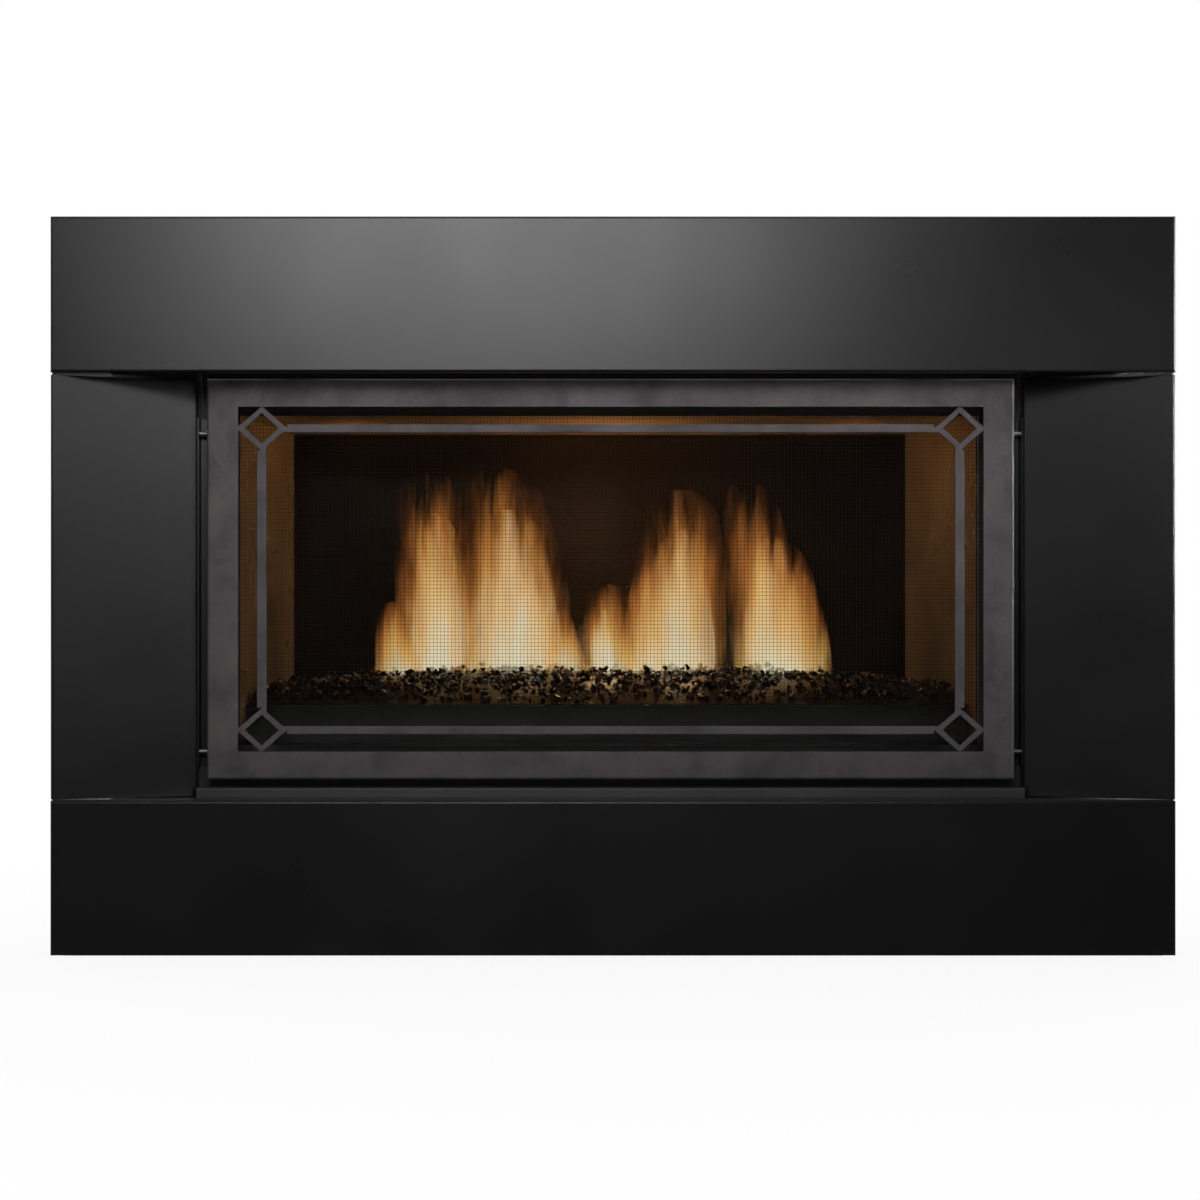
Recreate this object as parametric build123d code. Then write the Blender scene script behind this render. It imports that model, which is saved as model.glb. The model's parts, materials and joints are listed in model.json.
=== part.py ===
from build123d import *
import os

# A direct-vent gas fireplace insert with a four-piece surround and a latticed
# screen front. X runs to the right, Y into the wall, Z up; the origin is under
# the middle of the whole unit. "Depth" is measured back from the surround's
# front plane, and every size is in millimetres.

# ---------------------------------------------------------------- whole unit
unit_depth = 480.0

# ------------------------------------------------------------------ surround
surround_width = 1340.0
surround_height = 883.0
surround_depth = 90.0
surround_gauge = 1.6
surround_bend = 3.0
header_height = 185.8
header_lip = 12.0
wall_flange = 15.0
throat_width = 1008.8
throat_setback = 14.0
seam_under_header = 3.0
seam_over_shelf = 1.5
panel_tab_height = 24.0
panel_tab_gap = 1.6
shelf_top = 187.0
header_bracket_width = 40.0
header_bracket_spacing = 760.0
header_bracket_drop = 22.0

# -------------------------------------------------------- tilting base panel
access_depth = 20.0
access_ground_gap = 2.5
access_top_return = 5.5
access_bottom_return = 6.0
access_return_notch = 14.0
pivot_depth = 8.0
pivot_height = 20.5
pivot_radius = 3.0
pivot_ear_radius = 5.4
pivot_running_gap = 0.06
pivot_end_gap = 0.2
side_plate_gap = 0.9
shelf_front_gap = 1.0
base_strip_depth = 68.0
shelf_rear_flange = 22.0
sill_height = 12.0
sill_depth = 66.0
sill_gauge = 1.5
sill_bend = 2.0
sill_end_gap = 0.4

# ------------------------------------------------------- pull-off front plate
front_side_gap = 13.4
front_foot_gap = 9.9
front_head_gap = 1.0
front_depth = 64.0
front_gauge = 3.0
front_bend = 3.5
front_back_gap = 5.0
front_return = 14.0
side_bar = 37.8
rail_bar = 34.1
lattice_inset_x = 29.0
lattice_inset_z = 26.2
upright_width = 11.4
crossbar_width = 9.6
diamond_reach_x = 31.0
diamond_reach_z = 26.8
diamond_hole_x = 20.7
diamond_hole_z = 18.8

# ------------------------------------------------------------- safety screen
mesh_thickness = 1.0
mesh_grip = 12.0
mesh_columns = 12
mesh_rows = 6
mesh_wire = 4.5
retainer_gauge = 1.2
retainer_width = 19.0
retainer_inset = 3.0
nut_across = 7.0
nut_height = 2.4
nuts_along_rail = 5
nuts_along_side = 3

# ------------------------------------------------ pins that the front hangs on
pin_radius = 2.75
pin_chamfer = 0.8
pin_setback = 17.0
pin_above_foot = 33.8
pin_below_head = 65.2
pin_slot_gap = 0.1
pin_engagement = 4.0
bracket_gauge = 2.0
bracket_bend = 3.0
bracket_foot = 24.4
bracket_above_foot = 16.1
bracket_below_head = 46.2
bracket_nose = 5.0
magnet_length = 40.0
magnet_width = 10.0
magnet_above_foot = 121.1
magnet_below_head = 136.2
access_magnet_height = 20.0
access_magnet_depth = 12.0
access_magnet_width = 15.0
access_magnet_gap = 0.1
access_magnet_drop = 37.0

# -------------------------------------------------------------------- casing
casing_setback = 10.0
casing_margin = 0.6
casing_bottom = 40.0
casing_head = 26.0
face_gauge = 2.0
casing_gauge = 1.5
air_slot_inset = 48.0
air_slot_height = 32.0
air_slot_rise = 12.0
control_slot_width = 860.0
control_slot_bottom = 60.0
control_slot_height = 100.0
rear_standoff = 10.0
top_standoff = 25.0
standoff_length = 60.0
standoff_width = 30.0

# ------------------------------------------------------------------- firebox
recess_depth = 38.0
flange_gauge = 2.0
opening_side_reach = 5.3
opening_foot_inset = 5.0
opening_head_inset = 4.1
opening_step = 2.0
liner_taper = 44.5
firebox_back_space = 54.0
liner_thickness = 6.0
baffle_thickness = 3.5
shell_gauge = 1.5
baffle_slot_length = 60.0
baffle_slot_width = 14.0
baffle_slot_count = 8
baffle_slot_pitch = 88.0
baffle_slot_inset = 24.0

# --------------------------------------------------------------------- glass
glass_frame_gauge = 2.0
glass_frame_side = 15.5
glass_frame_bottom = 16.0
glass_frame_top = 18.0
glass_frame_reach = 12.0
glass_side_room = 4.0
glass_foot_room = 6.0
glass_head_room = 22.0
glass_seal_gap = 2.0
glass_thickness = 5.0
glass_edge_gap = 3.0
gasket_width = 9.0
turn_button_gauge = 2.5
turn_button_width = 16.0
turn_button_reach = 21.0
turn_button_bore = 2.5
turn_button_gap = 0.06
turn_post_radius = 5.0
turn_post_rise = 11.0
turn_post_spacing = 640.0
turn_post_cap = 2.0
turn_cap_gap = 0.1
turn_face_gap = 0.2
ledge_width = 50.0

# -------------------------------------------------------------------- burner
tray_front_gap = 30.0
tray_back_gap = 16.0
tray_height = 47.0
tray_gauge = 1.5
tray_side_gap = 2.0
tray_lip = 8.0
burner_length = 700.0
burner_width = 60.0
burner_height = 38.0
burner_gauge = 1.5
burner_corner = 8.0
port_count = 28
port_length = 12.0
port_width = 3.0
port_pitch = 24.0
port_row_offset = 10.0
grate_gauge = 1.5
grate_fit = 0.3
grate_slot_count = 22
grate_slot_pitch = 34.0
grate_slot_length = 18.0
grate_slot_width = 4.0
grate_slot_front_inset = 45.0
grate_slot_back_inset = 40.0
media_crest = 52.0
media_end = 24.0
media_front = 8.0
media_back = 40.0
media_crest_offset = 15.0
media_fit = 0.5
pilot_x = -210.0
pilot_pocket = 44.0
pilot_foot_gauge = 2.0
pilot_foot_inset = 2.0
pilot_hood_radius = 7.0
pilot_hood_wall = 1.5
pilot_hood_roof = 2.0
pilot_port_drop = 4.0
pilot_height = 40.0
pilot_rod_radius = 1.6
pilot_rod_offset = 13.0
sensor_rise = 4.0
spark_rise = 1.0

# -------------------------------------------------------------- flue and air
collar_radius = 38.1
collar_gauge = 1.0
collar_length = 62.0
collar_depth = 300.0
collar_spacing = 220.0
collar_bead = 1.6
collar_bead_rise = 10.0
collar_flange = 17.0
collar_flange_gauge = 2.0
collar_hole_gap = 1.0
relief_port_width = 70.0
relief_port_depth = 45.0
relief_overlap = 8.0
relief_gauge = 2.0
relief_spacing = 600.0
relief_port_middle = 280.0
relief_pin_radius = 2.0
relief_barrel_radius = 4.0
relief_pin_gap = 0.06
relief_end_gap = 0.5
relief_ear = 3.0

# ------------------------------------------------------------------ controls
control_setback = 10.0
control_plate_gauge = 1.5
control_plate_left = -265.0
control_plate_right = 95.0
control_plate_height = 112.0
control_plate_foot = 30.0
valve_x = -165.0
valve_width = 110.0
valve_setback = 16.0
valve_length = 68.0
valve_bottom = 68.0
valve_top = 132.0
valve_round = 6.0
valve_foot_inset = 20.0
valve_foot_setback = 10.0
valve_foot_notch = 18.0
valve_dome_radius = 18.0
valve_dome_height = 14.0
valve_neck_radius = 9.0
valve_neck_length = 6.0
valve_neck_hole_gap = 0.5
knob_radius = 15.0
knob_length = 18.0
knob_gap = 0.5
knob_round = 2.0
knob_flutes = 10
knob_flute_radius = 3.0
knob_flute_offset = 1.5
knob_skirt = 4.0
knob_pointer_width = 3.0
knob_pointer_rise = 1.5
knob_pointer_inset = 3.0
spindle_radius = 3.0
spindle_gap = 0.06
spindle_end_gap = 1.0
spindle_depth = 12.0
spindle_hole_gap = 1.0
flame_knob_x = -135.0
pilot_knob_x = -195.0
knob_height = 100.0
button_x = -75.0
button_radius = 7.0
button_round = 1.5
button_stroke = 6.0
button_proud = 9.0
button_guide = 22.0
button_barrel_wall = 3.0
button_barrel_rim = 5.0
button_rim_gauge = 2.0
button_end_wall = 3.0
button_end_gap = 1.0
rocker_x = -20.0
rocker_width = 12.0
rocker_height = 22.0
rocker_proud = 3.0
rocker_bezel = 3.0
rocker_bezel_gauge = 2.0
rocker_wall = 1.2
rocker_side_gap = 0.3
rocker_depth = 20.0
rocker_well = 14.0
rocker_pin_radius = 1.5
rocker_pin_gap = 0.05
rocker_pin_depth = 4.0
rocker_foot_depth = 6.0
rocker_foot_reach = 4.0
rocker_edge = 1.0
rocker_tilt = 9.0
speed_x = 45.0
speed_knob_radius = 11.0
speed_body_radius = 13.0
speed_body_depth = 20.0
shutoff_gap = 49.5
shutoff_height = 100.0
shutoff_radius = 13.0
shutoff_length = 62.0
shutoff_stub = 18.0
gas_thread_radius = 9.4
gas_thread_length = 16.0
stem_inset = 16.0
stem_boss_radius = 7.0
stem_boss_rise = 4.0
stem_radius = 4.0
stem_gap = 0.06
stem_end_gap = 2.0
lever_length = 46.0
lever_width = 12.0
lever_eye = 7.5
lever_gauge = 2.5
lever_gap = 0.2
tube_radius = 4.75
tube_wall = 1.0
tube_bend = 28.0
tube_run_out = 55.0
fitting_across = 19.0
fitting_length = 16.0

# -------------------------------------------------------------------- blower
blower_left = 70.0
blower_length = 300.0
blower_back_gap = 8.0
blower_height = 92.0
rotor_radius = 28.0
rotor_blades = 20
rotor_blade_depth = 8.0
rotor_blade_gauge = 1.2
rotor_blade_pitch = 25.0
rotor_disc_gauge = 2.0
rotor_shaft_radius = 4.0
rotor_shaft_gap = 0.06
rotor_shaft_left = 6.0
rotor_shaft_right = 10.0
rotor_tip_gap = 6.0
scroll_gauge = 1.5
scroll_throat = 20.0
scroll_tongue = 10.0
blower_end_gap = 4.0
motor_radius = 26.0
motor_length = 44.0
motor_round = 4.0
motor_foot_inset = 8.0
motor_foot_width = 28.0
motor_bore_gap = 1.0
motor_bore_depth = 10.0
box_side_gap = 75.0
box_width = 80.0
box_height = 62.0
box_depth = 50.0
box_gauge = 1.5
cable_entry_radius = 11.1
cable_entry_setback = 38.0
cable_entry_height = 75.0

# ---------------------------------------------------------- feet and screws
foot_pad_radius = 18.0
foot_pad_height = 6.0
foot_pad_chamfer = 2.0
foot_stud_radius = 4.0
foot_stud_top = 70.0
foot_inset_x = 60.0
foot_front_inset = 60.0
foot_back_inset = 120.0
foot_nut_across = 13.0
foot_nut_height = 6.5
screw_head_radius = 4.2
screw_head_height = 2.2
screw_head_round = 1.0
screw_inner = 150.0
screw_end_inset = 24.4
bracket_screw_inset = 15.0

# ------------------------------------------ widths, depths and levels that follow
surround_half = surround_width / 2
throat_half = throat_width / 2
side_plate_half = surround_half - surround_gauge - side_plate_gap
front_half = throat_half - front_side_gap
opening_left = front_half - side_bar
casing_half = throat_half + casing_margin
box_opening_half = opening_left + opening_side_reach
liner_back_half = box_opening_half - liner_taper
glass_half = box_opening_half + glass_frame_side
window_half = glass_half + glass_side_room
box_right = casing_half - box_side_gap
screw_outer = throat_half - screw_end_inset

throat_depth = surround_depth - throat_setback
casing_front = surround_depth + casing_setback
face_back = casing_front + face_gauge
casing_back = unit_depth - rear_standoff
front_back = casing_front - front_back_gap
pin_depth = casing_front - pin_setback
flange_depth = face_back + recess_depth
firebox_front = flange_depth + flange_gauge
firebox_back = casing_back - firebox_back_space
glass_frame_depth = flange_depth - glass_frame_reach - glass_seal_gap
tray_front = flange_depth + tray_front_gap
tray_back = firebox_back - tray_back_gap
burner_depth = (tray_front + tray_back) / 2
control_plate_depth = face_back + control_setback
valve_depth_front = control_plate_depth + valve_setback
valve_depth_back = valve_depth_front + valve_length
valve_depth = (valve_depth_front + valve_depth_back) / 2
scroll_radius = rotor_radius + rotor_tip_gap + scroll_gauge
blower_depth = casing_back - casing_gauge - blower_back_gap - scroll_radius
shutoff_depth = blower_depth - scroll_radius - shutoff_gap

header_bottom = surround_height - header_height
sill_top = shelf_top + sill_height
front_bottom = sill_top + front_foot_gap
front_top = header_bottom - front_head_gap
window_low = front_bottom + rail_bar
window_high = front_top - rail_bar
pin_heights = (front_bottom + pin_above_foot, front_top - pin_below_head)
magnet_heights = (front_bottom + magnet_above_foot, front_top - magnet_below_head)
opening_bottom = window_low + opening_foot_inset
firebox_floor = opening_bottom + opening_step
baffle_height = window_high - opening_head_inset
opening_top = baffle_height + opening_step
glass_low = opening_bottom - glass_frame_bottom
glass_high = opening_top + glass_frame_top
recess_bottom = glass_low - glass_foot_room
recess_top = glass_high + glass_head_room
firebox_ceiling = recess_top
turn_post_height = glass_high + turn_post_rise
air_slot_bottom = recess_top + air_slot_rise
air_slot_top = air_slot_bottom + air_slot_height
casing_top = air_slot_top + casing_head
casing_floor = casing_bottom + casing_gauge
control_top = casing_floor + control_plate_height
tray_top = firebox_floor + tray_height
burner_bottom = firebox_floor + tray_gauge
grate_bottom = burner_bottom + burner_height
media_bottom = grate_bottom + grate_gauge
collar_seat = casing_top + collar_flange_gauge

parts = {}


# ------------------------------------------------------------ shaping tools
def at_depth(depth):
    """Y of a depth behind the surround's front plane."""
    return depth - unit_depth / 2


def along_x(section, x0, x1):
    """Carry a (depth, height) section from x0 to x1."""
    start = Plane.YZ.offset(x0) * Pos(at_depth(0), 0)
    return extrude(start * section, x1 - x0)


def along_y(section, depth0, depth1):
    """Carry an (x, height) section from one depth to another."""
    return extrude(Plane.XZ.offset(-at_depth(depth1)) * section, depth1 - depth0)


def along_z(section, z0, z1):
    """Carry an (x, depth) section from one height to another."""
    start = Plane.XY.offset(z0) * Pos(0, at_depth(0))
    return extrude(start * section, z1 - z0)


def span(low, high, low2, high2):
    """Rectangle between two values on each axis of a sketch."""
    return Pos((low + high) / 2, (low2 + high2) / 2) * Rectangle(high - low, high2 - low2)


def slab(x_span, depth_span, z_span):
    """Rectangular solid between two values on each axis."""
    return along_z(span(*x_span, *depth_span), *z_span)


def outline(*points):
    """Face inside a closed run of straight edges."""
    return make_face(Polyline(*points, close=True))


def folded(points, gauge, bend):
    """Section of a folded sheet whose outer skin follows the points."""
    skin = FilletPolyline(*points, radius=bend)
    return make_face(offset(skin, amount=gauge, side=Side.RIGHT, closed=True))


def rod_x(radius, x0, x1, depth, height):
    """Round bar along X."""
    return along_x(Pos(depth, height) * Circle(radius), x0, x1)


def rod_y(radius, depth0, depth1, x, height):
    """Round bar along the depth."""
    return along_y(Pos(x, height) * Circle(radius), depth0, depth1)


def rod_z(radius, z0, z1, x, depth):
    """Upright round bar."""
    return along_z(Pos(x, depth) * Circle(radius), z0, z1)


def both_sides(solid):
    """The solid and its mirror image on the other side of the unit."""
    return [solid, mirror(solid, about=Plane.YZ)]


def pan(half_width, depth_span, z_span, gauge, bend):
    """A drawn tray: rounded front edges, four walls and an open back."""
    block = slab((-half_width, half_width), depth_span, z_span)
    block = fillet(block.edges().group_by(Axis.Y)[0], bend)
    return offset(block, amount=-gauge, openings=block.faces().sort_by(Axis.Y)[-1])


def add(name, *solids):
    """File the solids of one sub-part under its name."""
    flat = []
    for item in solids:
        flat.extend(item if isinstance(item, (list, ShapeList)) else [item])
    parts[name] = Compound(children=[s for item in flat for s in item.solids()])


# ----------------------------------------------------------------- surround
def make_header():
    """Header panel: a pan whose underside is only a short lip over the throat."""
    gauge = surround_gauge
    inner = surround_half - gauge
    heights = (header_bottom, surround_height)
    panel = pan(surround_half, (0, surround_depth), heights, gauge, surround_bend)
    underside = (header_bottom, header_bottom + gauge)
    panel -= slab((-throat_half, throat_half), (header_lip, surround_depth), underside)
    roof = surround_height - gauge
    clear = inner - wall_flange
    rim = span(-inner, inner, header_bottom, roof) - span(-clear, clear, header_bottom, roof - wall_flange)
    panel += along_y(rim, surround_depth - gauge, surround_depth)
    for tab in panel_tabs(header_bottom - panel_tab_height, header_bottom + gauge):
        panel += tab
    add("header_panel", panel)


def panel_tabs(low, high):
    """Upright tabs behind the ends of the side panels, which keep them in line."""
    inner = throat_half + panel_tab_gap
    outer = surround_half - wall_flange - panel_tab_gap
    return both_sides(slab((inner, outer), (surround_depth - surround_gauge, surround_depth), (low, high)))


def make_side_panels():
    """Side panels: folded sheets that slant back from the outer edge to the throat."""
    back = surround_depth
    skin = [
        (surround_half - wall_flange, back),
        (surround_half, back),
        (surround_half, 0),
        (throat_half, throat_depth),
        (throat_half, casing_front - bracket_gauge),
    ]
    section = folded(skin, surround_gauge, surround_bend)
    panel = along_z(section, shelf_top + seam_over_shelf, header_bottom - seam_under_header)
    right, left = both_sides(panel)
    add("side_panel_right", right)
    add("side_panel_left", left)


def make_access_panel():
    """Base panel: a shallow pan that tilts forward on two pivots near the floor."""
    gauge = surround_gauge
    inner = surround_half - gauge
    low = access_ground_gap
    panel = pan(surround_half, (0, access_depth), (low, shelf_top), gauge, surround_bend)
    panel -= slab((-inner, inner), (access_top_return, access_depth), (shelf_top - gauge, shelf_top))
    panel -= slab((-inner, inner), (access_bottom_return, access_depth), (low, low + gauge))
    for notch in both_sides(slab(
        (inner - access_return_notch, inner), (gauge, access_depth), (low, low + gauge)
    )):
        panel -= notch
    hole_radius = pivot_radius + pivot_running_gap
    panel -= rod_x(hole_radius, -surround_half, surround_half, pivot_depth, pivot_height)
    add("access_panel", panel)


def make_base_frame():
    """Base frame: shelf, two side plates with pivot ears, and a flat tie strip between their feet."""
    gauge = surround_gauge
    half = side_plate_half
    tongue = throat_half - bracket_gauge
    shelf_front = access_top_return + shelf_front_gap
    frame = slab((-half, half), (shelf_front, surround_depth), (shelf_top - gauge, shelf_top))
    frame += slab((-tongue, tongue), (surround_depth, casing_front), (shelf_top - gauge, shelf_top))
    frame += slab(
        (-tongue, tongue), (casing_front - gauge, casing_front), (shelf_top - shelf_rear_flange, shelf_top)
    )
    under = shelf_top - gauge
    ear_low = pivot_height - pivot_ear_radius
    plate = outline(
        (shelf_front, under),
        (shelf_front, pivot_height),
        (pivot_depth, ear_low),
        (base_strip_depth, ear_low),
        (base_strip_depth, 0),
        (surround_depth, 0),
        (surround_depth, under),
    )
    plate += Pos(pivot_depth, pivot_height) * Circle(pivot_ear_radius)
    plate -= Pos(pivot_depth, pivot_height) * Circle(pivot_radius)
    for side_plate in both_sides(along_x(plate, half - gauge, half)):
        frame += side_plate
    for tab in panel_tabs(under, shelf_top + panel_tab_height):
        frame += tab
    inner = half - gauge
    tie_strip = slab((-inner, inner), (base_strip_depth, surround_depth), (0, gauge))
    add("base_frame", frame, tie_strip)


def make_sill():
    """Sill trim: the angle that closes the throat below the front."""
    skin = [(sill_depth, shelf_top), (sill_depth, sill_top), (casing_front, sill_top)]
    section = folded(skin, sill_gauge, sill_bend)
    half = throat_half - sill_end_gap
    add("sill_trim", along_x(section, -half, half))


def make_header_brackets():
    """Two folded straps that carry the header off the casing."""
    top = casing_top - casing_gauge
    low = top - header_bracket_drop
    skin = [
        (surround_gauge, low),
        (surround_gauge, top),
        (casing_front, top),
        (casing_front, low),
    ]
    section = folded(skin, bracket_gauge, bracket_bend)
    inner = (header_bracket_spacing - header_bracket_width) / 2
    add("header_brackets", both_sides(along_x(section, inner, inner + header_bracket_width)))


def make_hangers():
    """Angle brackets beside the throat, with the pins that carry the front and base panel."""
    foot_edge = throat_half - bracket_foot
    nose = pin_depth - bracket_nose
    skin = [(foot_edge, casing_front), (throat_half, casing_front), (throat_half, nose)]
    web = throat_half - bracket_gauge
    low = front_bottom + bracket_above_foot
    high = front_top - bracket_below_head
    angle = along_z(folded(skin, bracket_gauge, bracket_bend), low, high)
    pin_end = front_half - front_gauge - pin_engagement
    pins = []
    for height in pin_heights:
        angle -= rod_x(pin_radius, web, throat_half, pin_depth, height)
        pin = rod_x(pin_radius, pin_end, throat_half, pin_depth, height)
        pins.extend(both_sides(chamfer(pin.edges().group_by(Axis.X)[0], pin_chamfer)))
    add("hanger_brackets", both_sides(angle))
    inside = side_plate_half - surround_gauge
    pivot = rod_x(pivot_radius, inside, surround_half - pivot_end_gap, pivot_depth, pivot_height)
    add("steel_pins", pins, both_sides(pivot))


def make_magnets():
    """Magnets that hold the front to the brackets and the base panel to its frame."""
    middle = front_half - front_gauge / 2
    magnets = []
    for height in magnet_heights:
        magnets.extend(both_sides(slab(
            (middle - magnet_width / 2, middle + magnet_width / 2),
            (front_back, casing_front - bracket_gauge),
            (height - magnet_length / 2, height + magnet_length / 2),
        )))
    inside = side_plate_half - surround_gauge
    near = surround_gauge + access_magnet_gap
    level = shelf_top - access_magnet_drop
    magnets.extend(both_sides(slab(
        (inside - access_magnet_width, inside),
        (near, near + access_magnet_depth),
        (level, level + access_magnet_height),
    )))
    add("hold_magnets", magnets)


# --------------------------------------------------------------- front plate
def lattice():
    """Uprights, crossbars and corner diamonds inside the front plate's window."""
    upright_x = opening_left - lattice_inset_x
    low = window_low + lattice_inset_z
    high = window_high - lattice_inset_z
    window = span(-opening_left, opening_left, window_low, window_high)
    inner = span(-upright_x, upright_x, low, high)
    pattern = Sketch()
    for z in (low, high):
        pattern += Pos(0, z) * Rectangle(2 * opening_left, crossbar_width)
    for x in (-upright_x, upright_x):
        pattern += span(x - upright_width / 2, x + upright_width / 2, window_low, window_high)
    corners = [Pos(x, z) for x in (-upright_x, upright_x) for z in (low, high)]
    for corner in corners:
        pattern -= corner * Rectangle(2 * diamond_reach_x, 2 * diamond_reach_z) - inner
    for corner in corners:
        pattern += corner * diamond(diamond_reach_x, diamond_reach_z)
        pattern -= corner * diamond(diamond_hole_x, diamond_hole_z)
    return pattern & window


def diamond(reach_x, reach_z):
    """Lozenge with the given half-diagonals."""
    return outline((-reach_x, 0), (0, -reach_z), (reach_x, 0), (0, reach_z))


def make_front_frame():
    """The decorative front: one laser-cut plate with folded edges and the corner lattice."""
    plate_back = front_depth + front_gauge
    heights = (front_bottom, front_top)
    frame = pan(front_half, (front_depth, front_back), heights, front_gauge, front_bend)
    inner = front_half - front_gauge
    frame -= slab((-inner, inner), (front_depth + front_return, front_back), heights)
    window = span(-opening_left, opening_left, window_low, window_high)
    frame -= along_y(window, front_depth, plate_back)
    frame += along_y(lattice(), front_depth, plate_back)
    slot_radius = pin_radius + pin_slot_gap
    for height in pin_heights:
        slot = Pos(pin_depth, height) * Circle(slot_radius)
        slot += span(pin_depth, front_back, height - slot_radius, height + slot_radius)
        frame -= along_x(slot, -front_half, front_half)
    add("front_frame", frame)


def make_screen():
    """Open screen behind the plate, its retaining ring and the ring's nuts."""
    plate_back = front_depth + front_gauge
    mesh_back = plate_back + mesh_thickness
    crossing = (plate_back + mesh_back) / 2
    grip_x = opening_left + mesh_grip
    grip_low = window_low - mesh_grip
    grip_high = window_high + mesh_grip
    wires = []
    for i in range(mesh_columns + 1):
        x = opening_left * (2 * i / mesh_columns - 1)
        upright = span(x - mesh_wire / 2, x + mesh_wire / 2, grip_low, grip_high)
        wires.append(along_y(upright, plate_back, crossing))
    for i in range(mesh_rows + 1):
        z = window_low + (window_high - window_low) * i / mesh_rows
        rail = span(-grip_x, grip_x, z - mesh_wire / 2, z + mesh_wire / 2)
        wires.append(along_y(rail, crossing, mesh_back))
    add("screen_mesh", wires)

    inner = opening_left + retainer_inset
    outer = inner + retainer_width
    reach = retainer_inset + retainer_width
    ring = span(-outer, outer, window_low - reach, window_high + reach)
    ring -= span(-inner, inner, window_low - retainer_inset, window_high + retainer_inset)
    ring_back = mesh_back + retainer_gauge
    add("screen_retainer", along_y(ring, mesh_back, ring_back))

    rail_x = opening_left + mesh_grip + nut_across / 2
    rail_low = window_low - mesh_grip - nut_across / 2
    rail_high = window_high + mesh_grip + nut_across / 2
    spots = []
    for i in range(nuts_along_rail):
        x = rail_x * (2 * i / (nuts_along_rail - 1) - 1)
        spots.extend([(x, rail_low), (x, rail_high)])
    for i in range(nuts_along_side):
        z = rail_low + (rail_high - rail_low) * (i + 1) / (nuts_along_side + 1)
        spots.extend([(-rail_x, z), (rail_x, z)])
    nut = RegularPolygon(nut_across / 2, 6, major_radius=False)
    nut_back = ring_back + nut_height
    add("screen_nuts", [along_y(Pos(x, z) * nut, ring_back, nut_back) for x, z in spots])


# -------------------------------------------------------------------- casing
def make_face_frame():
    """Face frame: the casing's front plate with its window, air slot and control slot."""
    plate = span(-casing_half, casing_half, casing_bottom, casing_top)
    plate -= span(-window_half, window_half, recess_bottom, recess_top)
    air_half = window_half - air_slot_inset
    plate -= span(-air_half, air_half, air_slot_bottom, air_slot_top)
    control_slot_top = control_slot_bottom + control_slot_height
    hand_half = control_slot_width / 2
    plate -= span(-hand_half, hand_half, control_slot_bottom, control_slot_top)
    add("face_frame", along_y(plate, casing_front, face_back))


def make_casing():
    """Outer casing sheets, with the flue, gas, cable and foot holes."""
    inner = casing_half - casing_gauge
    back_inner = casing_back - casing_gauge
    sides = slab((inner, casing_half), (face_back, casing_back), (casing_bottom, casing_top))
    right, left = both_sides(sides)
    right -= rod_x(shutoff_radius, inner, casing_half, shutoff_depth, shutoff_height)
    cable_entry_depth = control_plate_depth + cable_entry_setback
    right -= rod_x(
        cable_entry_radius, inner, casing_half, cable_entry_depth, cable_entry_height
    )
    add("casing_side_right", right)
    add("casing_side_left", left)
    back = slab((-inner, inner), (back_inner, casing_back), (casing_bottom, casing_top))
    add("casing_back", back)
    under_top = casing_top - casing_gauge
    top = slab((-inner, inner), (face_back, back_inner), (under_top, casing_top))
    hole_radius = collar_radius + collar_hole_gap
    for x in (-collar_spacing / 2, collar_spacing / 2):
        top -= rod_z(hole_radius, under_top, casing_top, x, collar_depth)
    add("casing_top", top)
    base = slab((-inner, inner), (face_back, back_inner), (casing_bottom, casing_floor))
    for x, depth in foot_places():
        base -= rod_z(foot_stud_radius, casing_bottom, casing_floor, x, depth)
    add("casing_base", base)


def foot_places():
    """Plan positions of the levelling feet."""
    reach = casing_half - foot_inset_x
    depths = (casing_front + foot_front_inset, casing_back - foot_back_inset)
    return [(x, depth) for x in (-reach, reach) for depth in depths]


def make_feet():
    """Levelling feet: a turned pad and stud, with a nut above and below the base."""
    feet = []
    for x, depth in foot_places():
        foot = rod_z(foot_pad_radius, 0, foot_pad_height, x, depth)
        foot = chamfer(foot.edges().group_by(Axis.Z)[-1], foot_pad_chamfer)
        foot += rod_z(foot_stud_radius, foot_pad_height, foot_stud_top, x, depth)
        nut = Pos(x, depth) * RegularPolygon(foot_nut_across / 2, 6, major_radius=False)
        nut -= Pos(x, depth) * Circle(foot_stud_radius)
        feet.append(foot)
        feet.append(along_z(nut, casing_bottom - foot_nut_height, casing_bottom))
        feet.append(along_z(nut, casing_floor, casing_floor + foot_nut_height))
    add("levelling_feet", feet)


def make_standoffs():
    """Hat-section stand-offs that keep framing clear of the casing's top and back."""
    half = standoff_width / 2
    x = casing_half - standoff_width - half
    lying = Pos(x, casing_top) * hat_section(half, top_standoff, casing_gauge)
    standing = Pos(x, casing_back) * hat_section(half, rear_standoff, casing_gauge)
    pieces = []
    for depth in (face_back + standoff_length, casing_back - standoff_length):
        near = depth - standoff_length / 2
        pieces.extend(both_sides(along_y(lying, near, near + standoff_length)))
    for height in (casing_bottom + standoff_length, casing_top - 2 * standoff_length):
        pieces.extend(both_sides(along_z(standing, height, height + standoff_length)))
    add("standoffs", pieces)


def hat_section(half, rise, gauge):
    """Section of a hat channel that stands on its two feet."""
    foot = half / 2
    hat = span(-half, half, 0, rise) + span(-half - foot, half + foot, 0, gauge)
    return hat - span(-half + gauge, half - gauge, 0, rise - gauge)


# ------------------------------------------------------------------- firebox
def liner_half(depth):
    """Half-width between the side liners at a depth."""
    share = (depth - firebox_front) / (firebox_back - firebox_front)
    return box_opening_half + share * (liner_back_half - box_opening_half)


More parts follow.
